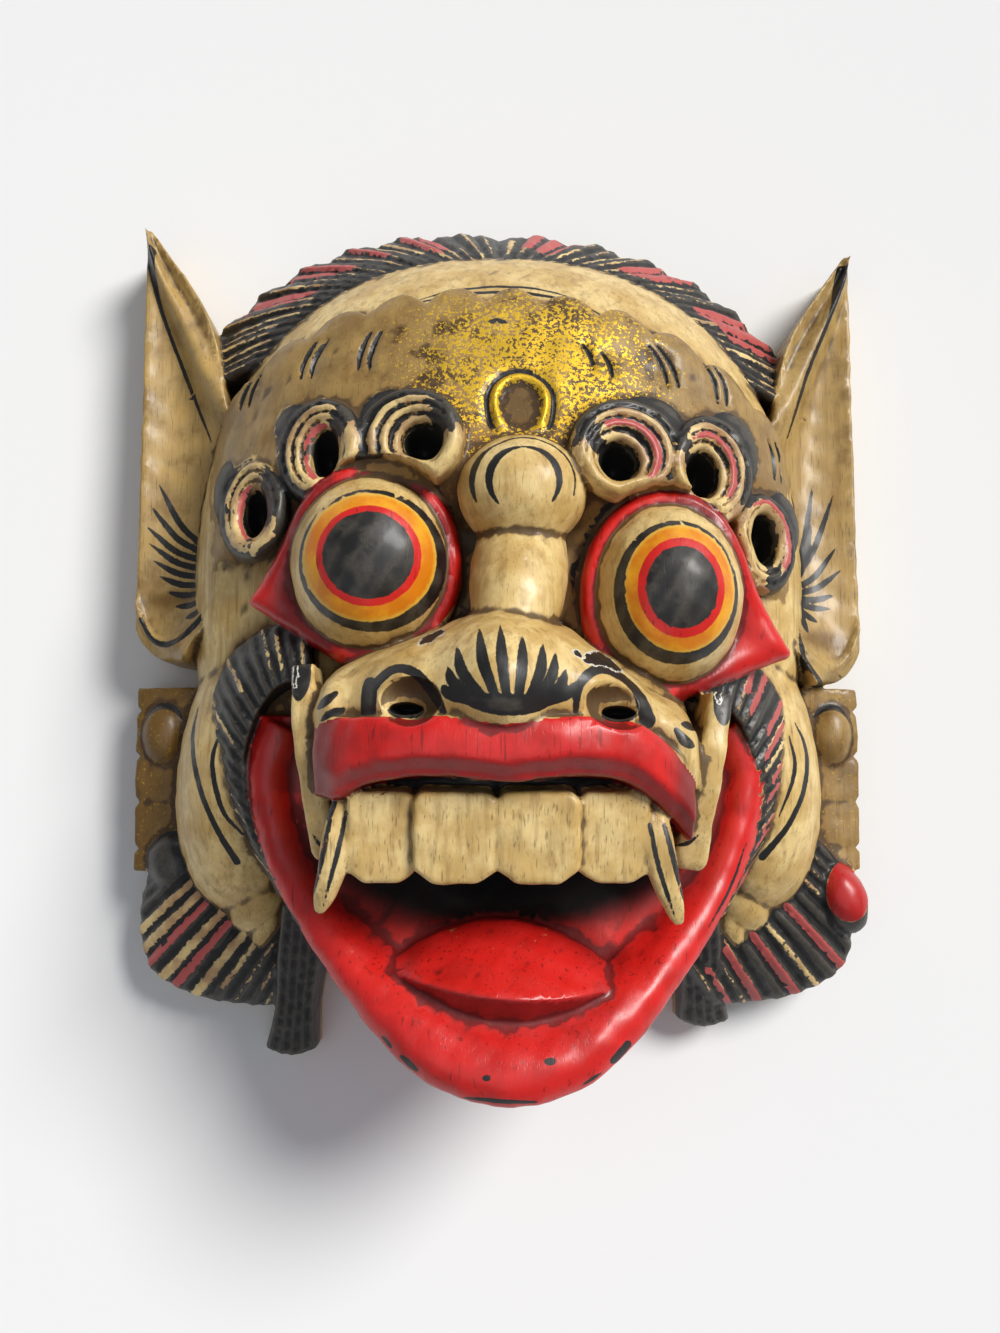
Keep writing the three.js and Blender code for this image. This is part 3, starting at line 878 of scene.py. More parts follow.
# %% [markdown]
# ## Cut lines
# Fine lines are cut with a V-tool: the pairs of slits and the horseshoe on the diadem. The
# skin is dense enough to cut them by moving its vertices along their normals, which is
# quicker than a boolean for each, and the slight waves of the knife are cut the same way.

# %% Cut lines
CUTS = [((-72, 66), 10, -20), ((-52.5, 72), 12, -22), ((-36.5, 72.5), 12, -15),
        ((23, 70), 8, 20), ((28, 68), 8, 20), ((44, 69), 14, 24), ((60, 66), 12, 16),
        ((79, 47), 12, 8)]
HORSESHOE = (4.3, 56.0)
ARCH_PLATE, ARCH_RIDGE, ARCH_GROOVE = 5.6, 6.9, 9.0


def arrays(mesh):
    """Positions and normals of a mesh as arrays."""
    place, normal = np.empty((2, len(mesh.vertices) * 3), np.float32)
    mesh.vertices.foreach_get("co", place)
    mesh.vertex_normals.foreach_get("vector", normal)
    return place.reshape(-1, 3).astype(float), normal.reshape(-1, 3).astype(float)


def steps(x, low, high):
    """The same as smooth, for arrays."""
    t = np.clip((x - low) / (high - low), 0, 1)
    return t * t * (3 - 2 * t)


def bow_line(xy, centre, length, turn, bend=0.18):
    """Distance to a bowed line, and the share of the way along it (0 to 1)."""
    a = math.radians(turn)
    along = np.array((math.sin(a), -math.cos(a)))
    across = np.array((-along[1], along[0]))
    p = xy - np.array(centre)
    u, v = p @ along / (length / 2), p @ across
    v = v - bend * length * (1 - u * u) * 0.5 * np.sign(turn)
    over = np.maximum(0, np.abs(u) - 1) * length / 2
    return np.hypot(v, over), u * 0.5 + 0.5


def slit_depth(xy):
    """How deep the pairs of slits are cut at each point, from 0 to 1."""
    deep = np.zeros(len(xy))
    for centre, length, turn in CUTS:
        gaps = (0.0,) if length < 10 else (-1.5, 1.5)
        for gap in gaps:
            far, u = bow_line(xy, (centre[0] + gap, centre[1]), length, turn)
            width = 0.5 + 0.5 * np.sin(np.pi * np.clip(u, 0, 1))
            deep = np.maximum(deep, 1 - steps(far, 0.25 * width, 1.0 * width))
    return deep


def arch_radius(x, y):
    """Distance from the middle of the horseshoe, whose two legs bend in a little."""
    up = y - HORSESHOE[1]
    return np.hypot(x - HORSESHOE[0], np.where(up > 0, up, 0.6 * up))


place, normal = arrays(mask.data)
x, y, z = place.T
front = steps(z, 40, 50)
move = -1.1 * slit_depth(place[:, :2]) * front
away = arch_radius(x, y)
shown = steps(y, HORSESHOE[1] - 10, HORSESHOE[1] - 6) * front * (z > 66)
move += shown * 1.1 * np.exp(-((away - ARCH_RIDGE) / 0.9) ** 2)
move -= shown * 1.2 * np.exp(-((away - ARCH_GROOVE) / 0.8) ** 2)
move -= shown * 0.7 * (away < ARCH_PLATE)
knife = (np.sin(0.41 * x + 0.23 * y + 1.7 * np.sin(0.13 * z))
         * np.sin(0.19 * x - 0.37 * y + 0.3 * z)
         + 0.5 * np.sin(0.83 * x + 0.29 * z + 2) * np.sin(0.71 * y - 0.33 * x))
move += 0.16 * knife * steps(z, 8, 20)
mask.data.vertices.foreach_set("co", (place + normal * move[:, None]).astype(np.float32).ravel())
mask.data.update()
print(f"cut lines reach {-move.min():.2f} mm into the wood")

# %% [markdown]
# ## Brush strokes
# A stroke is a line through a few points with a width at each: it swells and ends in a
# point, as a round brush leaves it. The lines are chosen here, before the skin is thinned, so
# that the skin stays fine along them.

# %% Strokes on the nose, the jewel and the cheeks
REACH = 6.0
FLAMES = [(-15.6, -22.5), (-14.4, -18.0), (-12.2, -12.8), (-6.8, -8.2), (-1.8, -7.6), (3.5, -10.2),
          (8.5, -12.2), (11.6, -14.4), (14.0, -18.6), (16.4, -21.6)]
JEWEL_ARCS = [((9.0, 9.0), 222, 92, 2.2), ((9.0, 9.0), 90, -38, 2.0),
              ((13.4, 12.2), 205, 125, 1.8), ((13.4, 12.2), 130, -15, 0.6)]


def arc(centre, radii, start, stop, count=7):
    """Points of an elliptic arc from one angle to another."""
    angles = [math.radians(lerp(start, stop, i / (count - 1))) for i in range(count)]
    return [(centre[0] + radii[0] * math.cos(a), centre[1] + radii[1] * math.sin(a))
            for a in angles]


def flame(tip_x, tip_y):
    """One flame of the fan: it leans out of the middle of the base and ends in a point."""
    root_x = lerp(1, tip_x, 0.45)
    middle = (lerp(root_x, tip_x, 0.78), lerp(-27, tip_y, 0.5))
    return [(root_x, -27), middle, (tip_x, tip_y)], 2.8, (2.2, 0.1)


# ---- each stroke: its points, its width in the middle and its widths at the two ends
STROKES = {
    "nose": [
        ([(-15.0, -23.2), (-8, -26.3), (0, -27.5), (8, -26.5), (15.6, -22.4)], 5.0, (0.4, 0.4)),
        ([(-33.5, -27), (-32.4, -22.5), (-27.5, -18.2), (-22, -19.4), (-17.3, -25), (-15.2, -29)],
         2.4, (3.6, 1.6)),
        ([(16.4, -28.4), (17.4, -22), (22.5, -18.0), (28.5, -19.6), (32.6, -23.6), (34.8, -30.2)],
         2.6, (1.4, 4.4)),
        ([(-33.4, -21.6), (-33.8, -28.4)], 4.2, (3.6, 4.0)),
        ([(-46.9, -27.4), (-42.2, -23.8)], 2.4, (0.4, 1.6)),
        ([(-46.0, -30.6), (-40.1, -27.6)], 2.8, (0.3, 1.2)),
        ([(43.6, -31.0), (48.6, -31.8)], 2.4, (0.4, 1.6)),
        ([(42.1, -32.6), (44.4, -35.4), (47.2, -36.6)], 2.8, (1.4, 0.3)),
        *(flame(*values) for values in FLAMES)],
    "skin": [
        *((arc((4.8, 31.4), radii, start, stop), width, (0.5, 0.5))
          for radii, start, stop, width in JEWEL_ARCS),
        ([(-87.3, -24), (-88.4, -32.6), (-86, -44.4), (-81, -56.5), (-74.6, -67.7)], 1.7,
         (0.4, 2.2)),
        ([(-78.5, -30), (-81.2, -39.7), (-78.3, -52.7), (-72.5, -60)], 1.6, (0.5, 0.7)),
        ([(84.4, -28.4), (88, -36.2), (86.8, -46.9), (81.4, -57.6), (74.2, -66.5)], 1.7,
         (0.4, 2.4)),
        ([(82.0, -32), (83.4, -42), (78.2, -55.6)], 1.4, (0.4, 0.4)),
        ([(-25.8, 90.4), (-14.3, 94.1), (-1.6, 95.8), (11.2, 94.8), (24, 90.4)], 1.0, (0.3, 0.3)),
        ([(-34.7, 87.8), (-19.4, 91), (-6.7, 93.2), (8.7, 93), (22.7, 89), (31.7, 84)], 1.2,
         (0.3, 0.3))],
    "teeth": [
        ([(-43.6, -55), (-45.4, -64), (-48.6, -75.5)], 1.5, (1.2, 0.2)),
        ([(-39.6, -53), (-41.6, -63), (-45.4, -76.5)], 1.3, (1.2, 0.2)),
        ([(39.2, -56), (41.9, -66), (46.0, -79)], 1.6, (1.2, 0.2)),
        ([(35.6, -56), (37.9, -67), (42.4, -79.5)], 1.3, (1.2, 0.2)),
        ([(-43.0, -47), (-44.2, -54)], 3.2, (3.0, 2.0))],
    "tendril": [
        ([(-49.5, -58), (-47, -61.5), (-43, -61.5)], 1.1, (0, 0)),
        ([(43.5, -62), (47, -61), (50, -58.5)], 1.2, (0, 0)),
        ([(-52.8, -13.0), (-52.6, -24.0)], 5.6, (6.0, 2.0)),
        ([(56.6, -20.0), (55.6, -30.0)], 5.6, (6.0, 2.4))],
    "chip": [
        ([(-21.5, -11.0), (-16.5, -8.0)], 3.2, (1.2, 2.8)),
        ([(16.5, -13.5), (18.0, -15.0)], 1.8, (1.4, 1.4)),
        ([(20.0, -15.5), (25.5, -14.8), (28.0, -17.0)], 5.6, (3.2, 2.8)),
        ([(-54.2, -15.0), (-54.0, -21.0)], 1.8, (1.0, 1.0)),
        ([(55.0, -22.0), (54.6, -25.0)], 1.8, (1.4, 1.0))],
    "jaw": [
        ([(28.0, -116.0), (31.5, -112.5)], 2.4, (2.4, 2.4)),
        ([(-26.0, -115.0), (-22.5, -118.0)], 1.8, (1.2, 1.2)),
        ([(-31.0, -110.5), (-29.0, -112.8)], 1.2, (0.8, 0.8)),
        ([(-10.0, -124.5), (8.0, -125.5)], 1.4, (0.6, 0.6)),
        ([(20.0, -121.5), (24.5, -119.0)], 1.1, (0.6, 0.6)),
        ([(10.6, -115.2), (12.0, -115.2)], 1.8, (1.6, 1.6)),
        ([(-5.0, -119.0), (-4.4, -119.0)], 1.6, (1.6, 1.6)),
        ([(-66.5, -62.0), (-62.0, -74.0), (-54.0, -84.5)], 1.0, (0.4, 0.4)),
        ([(67.0, -62.0), (62.0, -74.0), (55.0, -84.5)], 0.9, (0.4, 0.4))],
    "worn": [
        (arc(EYES[-1], (24.6, 27.0), -25, -72), 1.6, (0.2, 0.2)),
        (arc(EYES[-1], (26.6, 28.6), 60, 84), 1.0, (0.2, 0.2)),
        (arc(EYES[1], (24.4, 28.6), 196, 236), 1.4, (0.2, 0.2))],
    "ear": []}
print({name: len(values) for name, values in STROKES.items()}, "strokes")

# %% Strokes on the ears
# ---- lashes that fan from the inner edge, the line under the concha and along the fold
LASHES = {-1: ((-90.6, 26.5), (-88.8, 5.5),
               [(-104.4, 45.6), (-106.6, 38.7), (-107.4, 32.1), (-106.4, 26.8), (-105.4, 21.8),
                (-103.2, 16.8), (-100.5, 11.8), (-97.5, 7.2), (-93.5, 3.2)]),
          1: ((90.2, 18.5), (90.8, 5.0),
              [(97.5, 47.0), (103.6, 43.2), (96.7, 34.5), (103.6, 26.4), (104.8, 19.4),
               (103, 11.8), (101.2, 7.4), (96.4, 3.0), (92.8, -0.5)])}
CONCHAS = {-1: [(-108, 3.5), (-104, -3), (-97.7, -4.4), (-90.2, 0.2), (-86, 7.6), (-86, 24)],
           1: [(90.2, 18), (89.2, -4.7), (91.8, -12.1), (98.1, -17.0), (105.5, -16.2),
               (109.5, -13)]}
FOLDS = {-1: [(-108.5, 118), (-105.5, 102), (-98, 82), (-88, 58)],
         1: [(107.5, 114), (102.5, 98), (95, 80), (88.5, 60)]}
for side in SIDES:
    top, low, tips = LASHES[side]
    for i, tip in enumerate(tips):
        share = i / (len(tips) - 1)
        root = (lerp(top[0], low[0], share), lerp(top[1], low[1], share))
        middle = (lerp(root[0], tip[0], 0.5), lerp(root[1], tip[1], 0.38) - 0.6)
        STROKES["ear"].append(([root, middle, tip], 2.0, (2.3, 0.3)))
    STROKES["ear"] += [(CONCHAS[side], 1.9, (1.2, 1.2)), (FOLDS[side], 1.2, (4.0, 0.4))]
print(len(STROKES["ear"]), "strokes on the ears")


# %% The width of a stroke
def stroke(xy, points, width, ends=(0.0, 0.0), count=24):
    """Signed distance to a stroke that is width wide in its middle, positive inside it."""
    at = curve([(*p, 0) for p in points])
    line = np.array([at(i / count)[:2] for i in range(count + 1)])
    best = np.full(len(xy), -REACH)
    near = ((xy > line.min(0) - REACH) & (xy < line.max(0) + REACH)).all(1)
    p = xy[near]
    found = np.full(len(p), -REACH)
    for i in range(count):
        a, b = line[i], line[i + 1]
        t = np.clip((p - a) @ (b - a) / ((b - a) @ (b - a) + 1e-9), 0, 1)
        away = np.linalg.norm(p - a - t[:, None] * (b - a), axis=1)
        share = (i + t) / count
        swell = np.sin(np.pi * share)
        half = 0.5 * (width * swell + lerp(ends[0], ends[1], share) * (1 - swell))
        found = np.maximum(found, half - away)
    best[near] = found
    return best


def strokes(xy, name):
    """All strokes of one part of the face as one field."""
    return np.max([stroke(xy, *values) for values in STROKES[name]], axis=0)


print(sum(len(lines) for lines in STROKES.values()), "strokes in all")

# %% [markdown]
# ## The mesh that is kept
# The dense skin has far more triangles than the mask needs. Decimate thins it by merging
# edges, and a vertex group tells it where: freely inside the hollow and on the sides, less on
# the face, and not at all along brush strokes, slits and teeth, where a moved vertex would
# show as a jagged edge.

# %% The mesh that is kept
TRIANGLES = 196000
LEVELS = 20
place, normal = arrays(mask.data)
x, y, z = place.T


def zone(low_x, high_x, low_y, high_y, over_z):
    """Vertices between two distances from the midline and two heights, in front of over_z."""
    return ((np.abs(x) >= low_x) & (np.abs(x) < high_x) & (y > low_y) & (y < high_y)
            & (z > over_z))


hidden = np.clip(1 - steps(z, 6, 16) + steps(-normal[:, 2], 0.1, 0.5), 0, 1)
eyes_and_nose, ears = zone(0, 84, -40, 62, 40), zone(84, WIDTH, -20, HALF_H, 12)
cheeks, dome = zone(66, WIDTH, -90, -18, 20), zone(0, 38, 80, 99, 0)
plain = ~(eyes_and_nose | ears | cheeks | dome)
freedom = np.clip(0.25 + 0.75 * hidden + 0.35 * plain, 0, 1)
near_stroke = np.max([-np.abs(strokes(place[:, :2], name)) for name in STROKES], axis=0) > -1.0
near_stroke &= (z > 5) & (normal[:, 2] > 0)
on_fan, in_bowl = zone(50, 84, -84, -4, 42), zone(0, 62, -116, -52, 30)
freedom[on_fan & (normal[:, 2] > 0)] = 0.1
freedom[in_bowl & (normal[:, 2] > -0.2)] = 0.3
near_slit = (slit_depth(place[:, :2]) > 0.02) & (z > 45)
freedom[near_stroke | near_slit | zone(0, 48, -78, -42, 82)] = 0
print(f"{near_stroke.sum()} vertices stay where they are")
weights = mask.vertex_groups.new(name="freedom")
levels = np.round(freedom * LEVELS).astype(int)
for level in np.unique(levels):
    weights.add(np.nonzero(levels == level)[0].tolist(), float(level / LEVELS), "REPLACE")
triangles = sum(len(p.vertices) - 2 for p in mask.data.polygons)
applied(mask, "DECIMATE", ratio=TRIANGLES / triangles, vertex_group="freedom",
        vertex_group_factor=0.5, use_collapse_triangulate=True)
mask.vertex_groups.clear()


def drop_crumbs(mesh):
    """Deletes the loose crumbs that cutting and thinning leave beside the one skin."""
    bm = bmesh.new()
    bm.from_mesh(mesh)
    left, shells = set(bm.verts), []
    while left:
        front = [left.pop()]
        shell = list(front)
        while front:
            vert = front.pop()
            near = {e.other_vert(vert) for e in vert.link_edges} & left
            left -= near
            front += near
            shell += near
        shells.append(shell)
    shells.sort(key=len)
    crumbs = [v for shell in shells[:-1] for v in shell]
    bmesh.ops.delete(bm, geom=crumbs, context="VERTS")
    bm.to_mesh(mesh)
    print(f"{len(crumbs)} vertices of crumbs dropped")


drop_crumbs(mask.data)
print(f"kept {len(mask.data.polygons)} triangles of {triangles}")

# %% [markdown]
# ## Where each paint lies
# The painter follows the carving: red lips and lids, black grooves, cream skin. So for each
# vertex the distance to the lumps of each finish is measured, and the difference to the
# nearest other finish is kept as a field in millimetres, positive where the paint lies. The
# shader turns every field into an edge, which stays sharp between the vertices. A colour on
# each vertex would be simpler, but its edges would be as coarse as the triangles.

# %% Distance to the lumps
place, normal = arrays(mask.data)
XY = place[:, :2]
x, y, z = place.T


def surface_of(name):
    """One search tree for the lumps of a finish, with the lock numbers of its vertices."""
    points, faces, locks = [], [], []
    for bm in GROUPS[name]:
        bm.verts.ensure_lookup_table()
        start = len(points)
        lock, along = (bm.verts.layers.float[k] for k in ("lock", "along"))
        points += [v.co.copy() for v in bm.verts]
        locks += [(v[lock], v[along]) for v in bm.verts]
        faces += [[start + v.index for v in f.verts] for f in bm.faces]
    return BVHTree.FromPolygons(points, faces), points, faces, locks


def distances(name):
    """Distance of each vertex to the lumps of a finish, and the lock it lies on."""
    tree, points, faces, locks = surface_of(name)
    far = np.full(len(place), REACH)
    strands = np.zeros((len(place), 2))
    for i, p in enumerate(place):
        spot, _, face, away = tree.find_nearest(p, REACH)
        if spot is None:
            continue
        far[i] = away
        if name in ("hair", "curl"):
            pull = [1 / ((points[k] - spot).length_squared + 1e-4) for k in faces[face]]
            total = sum(pull)
            for part in (0, 1):
                strands[i, part] = sum(w * locks[k][part]
                                       for w, k in zip(pull, faces[face])) / total
    return far, strands


FAR, STRANDS = {}, {}
for name in GROUPS:
    if name not in ("nostril", "pit", "hollow"):
        FAR[name], STRANDS[name] = distances(name)


def field(*names):
    """Positive where the finish called by these names is the nearest one."""
    own = np.min([FAR[name] for name in names], axis=0)
    rest = np.min([FAR[name] for name in FAR if name not in names], axis=0)
    return np.clip(rest - own, -REACH, REACH)


print({name: int((field(name) > 0).sum()) for name in FAR})

# %% Hollows and edges
edges = np.empty(len(mask.data.edges) * 2, np.int32)
mask.data.edges.foreach_get("vertices", edges)
edges = edges.reshape(-1, 2)
degree = np.bincount(edges.ravel(), minlength=len(place)).astype(float)


def spread(values, times):
    """Averages values over neighbouring vertices, again and again."""
    values = np.array(values, float)
    for _ in range(times):
        total = np.zeros_like(values)
        np.add.at(total, edges[:, 0], values[edges[:, 1]])
        np.add.at(total, edges[:, 1], values[edges[:, 0]])
        values = 0.5 * values + 0.5 * total / (degree[:, None] if values.ndim > 1 else degree)
    return values


def hollowness(times):
    """How far a vertex lies below its smoothed surroundings, in millimetres."""
    return np.einsum("ij,ij->i", spread(place, times) - place, normal)


fine_hollow = hollowness(3)
wide_hollow = spread(hollowness(30), 2)
print(f"hollows to {wide_hollow.max():.2f} mm, edges to {-wide_hollow.min():.2f} mm")

# %% Fields
FRONT = np.where(z > 12, REACH, -REACH)
skin = field("ground", "tendril", "ear")
PAINT = {name: np.full(len(place), -REACH)
         for name in ("red", "black", "amber", "yellow", "lift", "red_top", "chip")}
PAINT["red"] = field("red", "tongue")
stain_and_shade, maroon_and_shade = np.zeros((2, len(place)))
grain = np.where(field("teeth") > 0, 1.0, np.where(field("ear") > 0, 0.4, 0.0))


def within(field_, limit):
    """A field that is kept only inside another one."""
    return np.minimum(field_, limit)


def lay(paint, values, where=True):
    """Adds a field to a paint, on all vertices or only where a condition holds."""
    PAINT[paint] = np.maximum(PAINT[paint], np.where(where, values, -REACH))


def spare(paint, values, where=True):
    """Keeps a paint off a field, on all vertices or only where a condition holds."""
    PAINT[paint] = np.where(where, np.minimum(PAINT[paint], -values), PAINT[paint])


def tell_paint(*names):
    """Prints how much of the mask some paints cover so far."""
    print(", ".join(f"{name} {100 * (PAINT[name] > 0).mean():.1f} %" for name in names))


tell_paint("red")

# %% [markdown]
# ## Eyes, skin and leaf
# The irises are rings about the point that each eye looks at, so their distance from it is
# all that the painter's compass needs. Brush strokes are kept to the piece they are painted
# on by the smaller of two fields. The diadem has leaf in its middle and bare brown size
# where the leaf is worn away.

# %% Eyes
# ---- rings about the point that each pupil looks out of, and a line of painted shade over each lid
RINGS = {-1: {"look": (0.3, -0.6), "oval": 1.02, "pupil": 11.5, "red": 13.3, "amber": 16.4,
              "cream": 17.2, "line": 1.8, "heavy": -40, "rim": (20, 165, 0.35, 3.3)},
         1: {"look": (1.6, -0.6), "oval": 0.94, "pupil": 10.0, "red": 12.2, "amber": 15.0,
             "cream": 15.8, "line": 2.0, "heavy": 228, "rim": (84, 190, 0.8, 4.6)}}
on_ball = field("eyeball")
for side in SIDES:
    centre, rule, (rx, ry) = EYES[side], RINGS[side], EYE_RADII[side]
    mine = np.where(np.sign(x - MIDLINE) == side, on_ball, -REACH)
    dx, dy = x - centre.x - rule["look"][0], y - centre.y - rule["look"][1]
    away = np.hypot(dx / rule["oval"], dy * rule["oval"])
    shift = np.cos(np.arctan2(dy, dx) - math.radians(rule["heavy"]))
    middle = rule["cream"] + 0.8 + 0.35 * shift
    half = 0.5 * rule["line"] * (1 + 0.5 * shift)
    lay("black", within(half - np.abs(away - middle), mine))
    for paint, edge in (("black", "pupil"), ("red", "red"), ("amber", "amber"),
                        ("yellow", "cream")):
        lay(paint, within(rule[edge] - away, mine))
    outside = (np.hypot((x - centre.x) / rx, (y - centre.y) / ry) - 1) * 0.5 * (rx + ry)
    turn = np.degrees(np.arctan2(y - centre.y, x - centre.x))
    # ---- painted shade: a thin black line along the upper edge of each lid, where the curls meet
    # it
    start, stop, width, far = rule["rim"]
    left = stop - np.where(turn < 0, turn + 360, turn)
    window = np.clip(np.minimum(turn - start, left) / 22, -1, 1)
    lay("black", width * window - np.abs(outside - far), (z > 62) & (on_ball < 0))
    stain_and_shade += np.where(mine > 0, 0.1 + 0.4 * steps(away, 18, 23), 0)
tell_paint("black", "amber", "yellow")

# %% Nose, cheeks, ears and fangs
# ---- no red above the lip line; the strokes; holes at the bottom of the nostrils
lip_edge = np.array([lip_line(px) for px in x])
above = (z > 82) & (y > lip_edge + 0.3) & (np.abs(x) < 50) & (on_ball < 0)
PAINT["red"][above] = -REACH
below = (z > 92) & (y < lip_edge) & (y > lip_edge - 8) & (np.abs(x) < 44)
lay("red", lip_edge - 0.2 - y, below)
on_ear = within(field("ear"), FRONT)
PLACES = {"nose": within(skin, np.where(z > MUZZLE_FOOT, REACH, -REACH)),
          "skin": within(skin, FRONT), "ear": on_ear,
          "teeth": field("teeth"), "tendril": field("tendril"),
          "jaw": within(field("red"), np.where(z > 50, REACH, -REACH))}
for name, limit in PLACES.items():
    lay("black", within(strokes(XY, name), limit))
spare("red", strokes(XY, "worn"), z > 60)
lay("chip", within(strokes(XY, "chip"), FRONT))
for side in SIDES:
    across, up = nostril_at(side)
    # ---- painted shade: black at the bottom of each nostril hole
    hole = 1 - np.hypot((x - across) / 4.5, (y - up + 2.6) / 1.9)
    lay("black", hole * 4, (z > 86) & (z < 105))
    concha = stroke(XY, [(side * 92, 4 - side * 6), (side * 104, 3 - side * 6)], 5.0, (3, 4))
    # ---- painted shade browns the left ear, which turns away from the window; both ears brown ----
    # near the concha
    stain_and_shade += np.where(on_ear > 0, 0.55 - 0.55 * side + 0.6 * steps(concha, -2, 2), 0)
tell_paint("red", "black", "chip")

# %% Diadem and pendants
# ---- leaf in the middle, brown where it is worn, black in the cuts
on_gold, on_pendant = field("gold"), field("pendant")
heart = np.exp(-np.abs((x - 9) / 33) ** 2.6 - np.abs((y - 66) / 25) ** 3)
gold = np.where(on_gold > -0.5, heart, 0)
gold[on_pendant > 0] = 0.13
stain_and_shade[on_gold > 0] += 1.35
stain_and_shade += np.where(on_pendant > 0, 1.7 - 0.3 * np.sign(x), 0)
lay("black", (slit_depth(XY) - 0.35) * 2.0, z > 45)
away = arch_radius(x, y)
arch = (y > HORSESHOE[1] - 8) & (z > 62)
plate = (away < ARCH_PLATE) & arch
inner_plate = (away < ARCH_PLATE - 0.2) & arch
lay("black", 0.75 - np.abs(away - ARCH_GROOVE), arch)
gold[(np.abs(away - ARCH_RIDGE) < 1.3) & arch] = 1.3
gold[plate] = 0.12
stain_and_shade[plate] = 3.2
lay("black", stroke(XY, [(-5.5, 79.5), (-2, 80.5), (1.8, 79.8)], 1.8), z > 40)
for side in SIDES:
    recess = stroke(XY, arc((side * BOSS[0], BOSS[1]), (6.5, 8.5), 160, 20), 2.2)
    lay("black", recess, on_pendant > -1)
print(f"leaf on {100 * (gold > 0.25).mean():.1f} % of the mask")

# %% [markdown]
# ## Painted hair
# Hair is lamp black in the grooves, and each lock has a pale or a red line along its ridge,
# which the painter drags on with an almost dry brush. Every vertex knows its lock and its
# place on it, so the lines follow the carving. Seeded dice make them uneven, lock by lock.

# %% Hair, tufts, beards and moustaches
on_hair = field("hair", "volute")
lock, along = STRANDS["hair"].T
number = np.floor(lock).astype(int)
across = lock - number
seed = np.random.default_rng(11)
DICE = seed.random((220, 6))
dice = DICE[np.clip(number, 0, len(DICE) - 1)]
ridge_top = 0.5 - np.abs(across - 0.5)
beards = (number >= BEARD[-1]) & (number < FAN[-1])
tufts = (number >= TUFT[-1]) & (number < BEARD[-1])
pitch = np.select([number < TUFT[-1], tufts, beards], [4.4, 4.2, 3.8], 3.4)
lay("black", on_hair)

# ---- pale ridges, which the beards don't have, and broad ones on the left tuft
share = np.select([number < TUFT[-1], beards, number >= FAN[1], number >= FAN[-1]],
                  [0.95, 0.0, 0.75, 0.45], 0.8)
crest = (ridge_top - lerp(0.45, 0.33, dice[:, 0])) * pitch
ends = np.minimum(along - 0.06 - 0.35 * dice[:, 1], 0.8 + 0.3 * dice[:, 2] - along) * 14
pale = np.where(dice[:, 3] < share, np.minimum(crest, ends), -REACH)
broad = np.where(np.isin(number, [TUFT[-1] + k for k in (3, 4, 6, 8)]),
                 np.minimum((ridge_top - 0.24) * pitch, (along - 0.42) * 20), -REACH)
pale = np.where((number >= TUFT[-1]) & (number < TUFT[-1] + 9), broad, pale)
lay("lift", within(pale, on_hair), FAR["volute"] > 1)

# ---- red locks on the crown, red lines on the tufts and the right fan, a red comma
crown_red = np.isin(number, [7, 8, 11, 12, 15, 18, 19, 24, 25, 26, 31, 32, 33, 37, 38, 39, 40])
crown_band = np.minimum(along - 0.3 - 0.25 * dice[:, 4], 0.97 - along) * 15
lay("red_top", within(np.minimum(crown_band, (ridge_top - 0.17) * pitch), on_hair), crown_red)
lined = np.isin(number, [TUFT[-1] + 5, TUFT[-1] + 7] + [TUFT[1] + k for k in (1, 3, 5, 8)])
lined |= (number >= FAN[1]) & (number % 3 != 1) & (number < FAN[1] + FAN_LOCKS)
stripe = np.minimum((0.26 - np.abs(across - 0.3)) * pitch,
                    (along - 0.2 - 0.25 * dice[:, 5]) * 20)
lay("red_top", within(stripe, on_hair), lined)
comma = np.where((x > 0) & (FAR["volute"] < 0.8),
                 6.6 - np.hypot(x - 104, (y + 78) * 0.75), -REACH)
spare("black", comma, comma > -1)
lay("red", comma)
tell_paint("black", "lift", "red_top")

# %% Brow curls
# ---- a black hood, pale and red ridges round the pit, and a cream flap towards the nose
on_curl = field("curl")
lock, along = STRANDS["curl"].T
number = np.floor(lock / CURL_STEP).astype(int)
bands = lock - number * CURL_STEP
angle = (along - 0.5) * 2 * math.pi
lay("black", within(field("curl", "hood"), FRONT))
# ---- each flap: the way it points in degrees, how narrow it is and how far it reaches
FLAPS = [(-62, 0.35, 4.4), (-38, 0.45, 3.6), (-60, 0.85, 3.0),
         (-112, 0.2, 4.4), (-122, 0.25, 4.4), (-160, 0.4, 3.2)]
for i, (side, pit, pit_r, *_, ridges) in enumerate(CURLS):
    here = (number == i) & (on_curl > -1)
    top = (0.27 - np.abs(bands % 1 - 0.5)) * 3.4
    outwards = np.cos(angle - math.radians(165 if side < 0 else 40))
    sweep = (outwards + 0.1 + 0.15 * np.sin(bands * 5 + i)) * 7
    ridge_line = np.minimum.reduce([top, sweep, (ridges - 0.9 - bands) * 3.4])
    lay("lift", within(ridge_line, on_curl), here)
    turn, narrow, reach = FLAPS[i]
    flap = (np.cos(angle - math.radians(turn)) - narrow - 0.12 * np.sin(bands * 9 + i)) * 9
    flap = np.minimum(flap, (reach + 0.4 * np.sin(angle * 9 + i) - bands) * 3)
    spare("black", within(flap, on_curl), here)
    lay("lift", within(1.6 - np.abs(flap - 1.4), on_curl), here)
    if i != 0:
        ring_red = (0.3 - np.abs(bands - (1.6 if i > 2 else 0.6))) * 3.4
        ring_red = np.minimum(ring_red, (outwards - 0.1) * 6)
        lay("red_top", within(ring_red, on_curl), here)
    dx, dy = (x - pit[0]) / pit_r[0], (y - pit[1]) / pit_r[1]
    hole = (1.02 - np.hypot(dx * (1 + 0.35 * np.clip(-dy, 0, 1)), dy)) * min(pit_r)
    for paint in ("lift", "red_top"):
        PAINT[paint][(hole > 0) & (z > 40)] = -REACH
    lay("black", hole, z > 40)
tell_paint("black", "lift", "red_top")
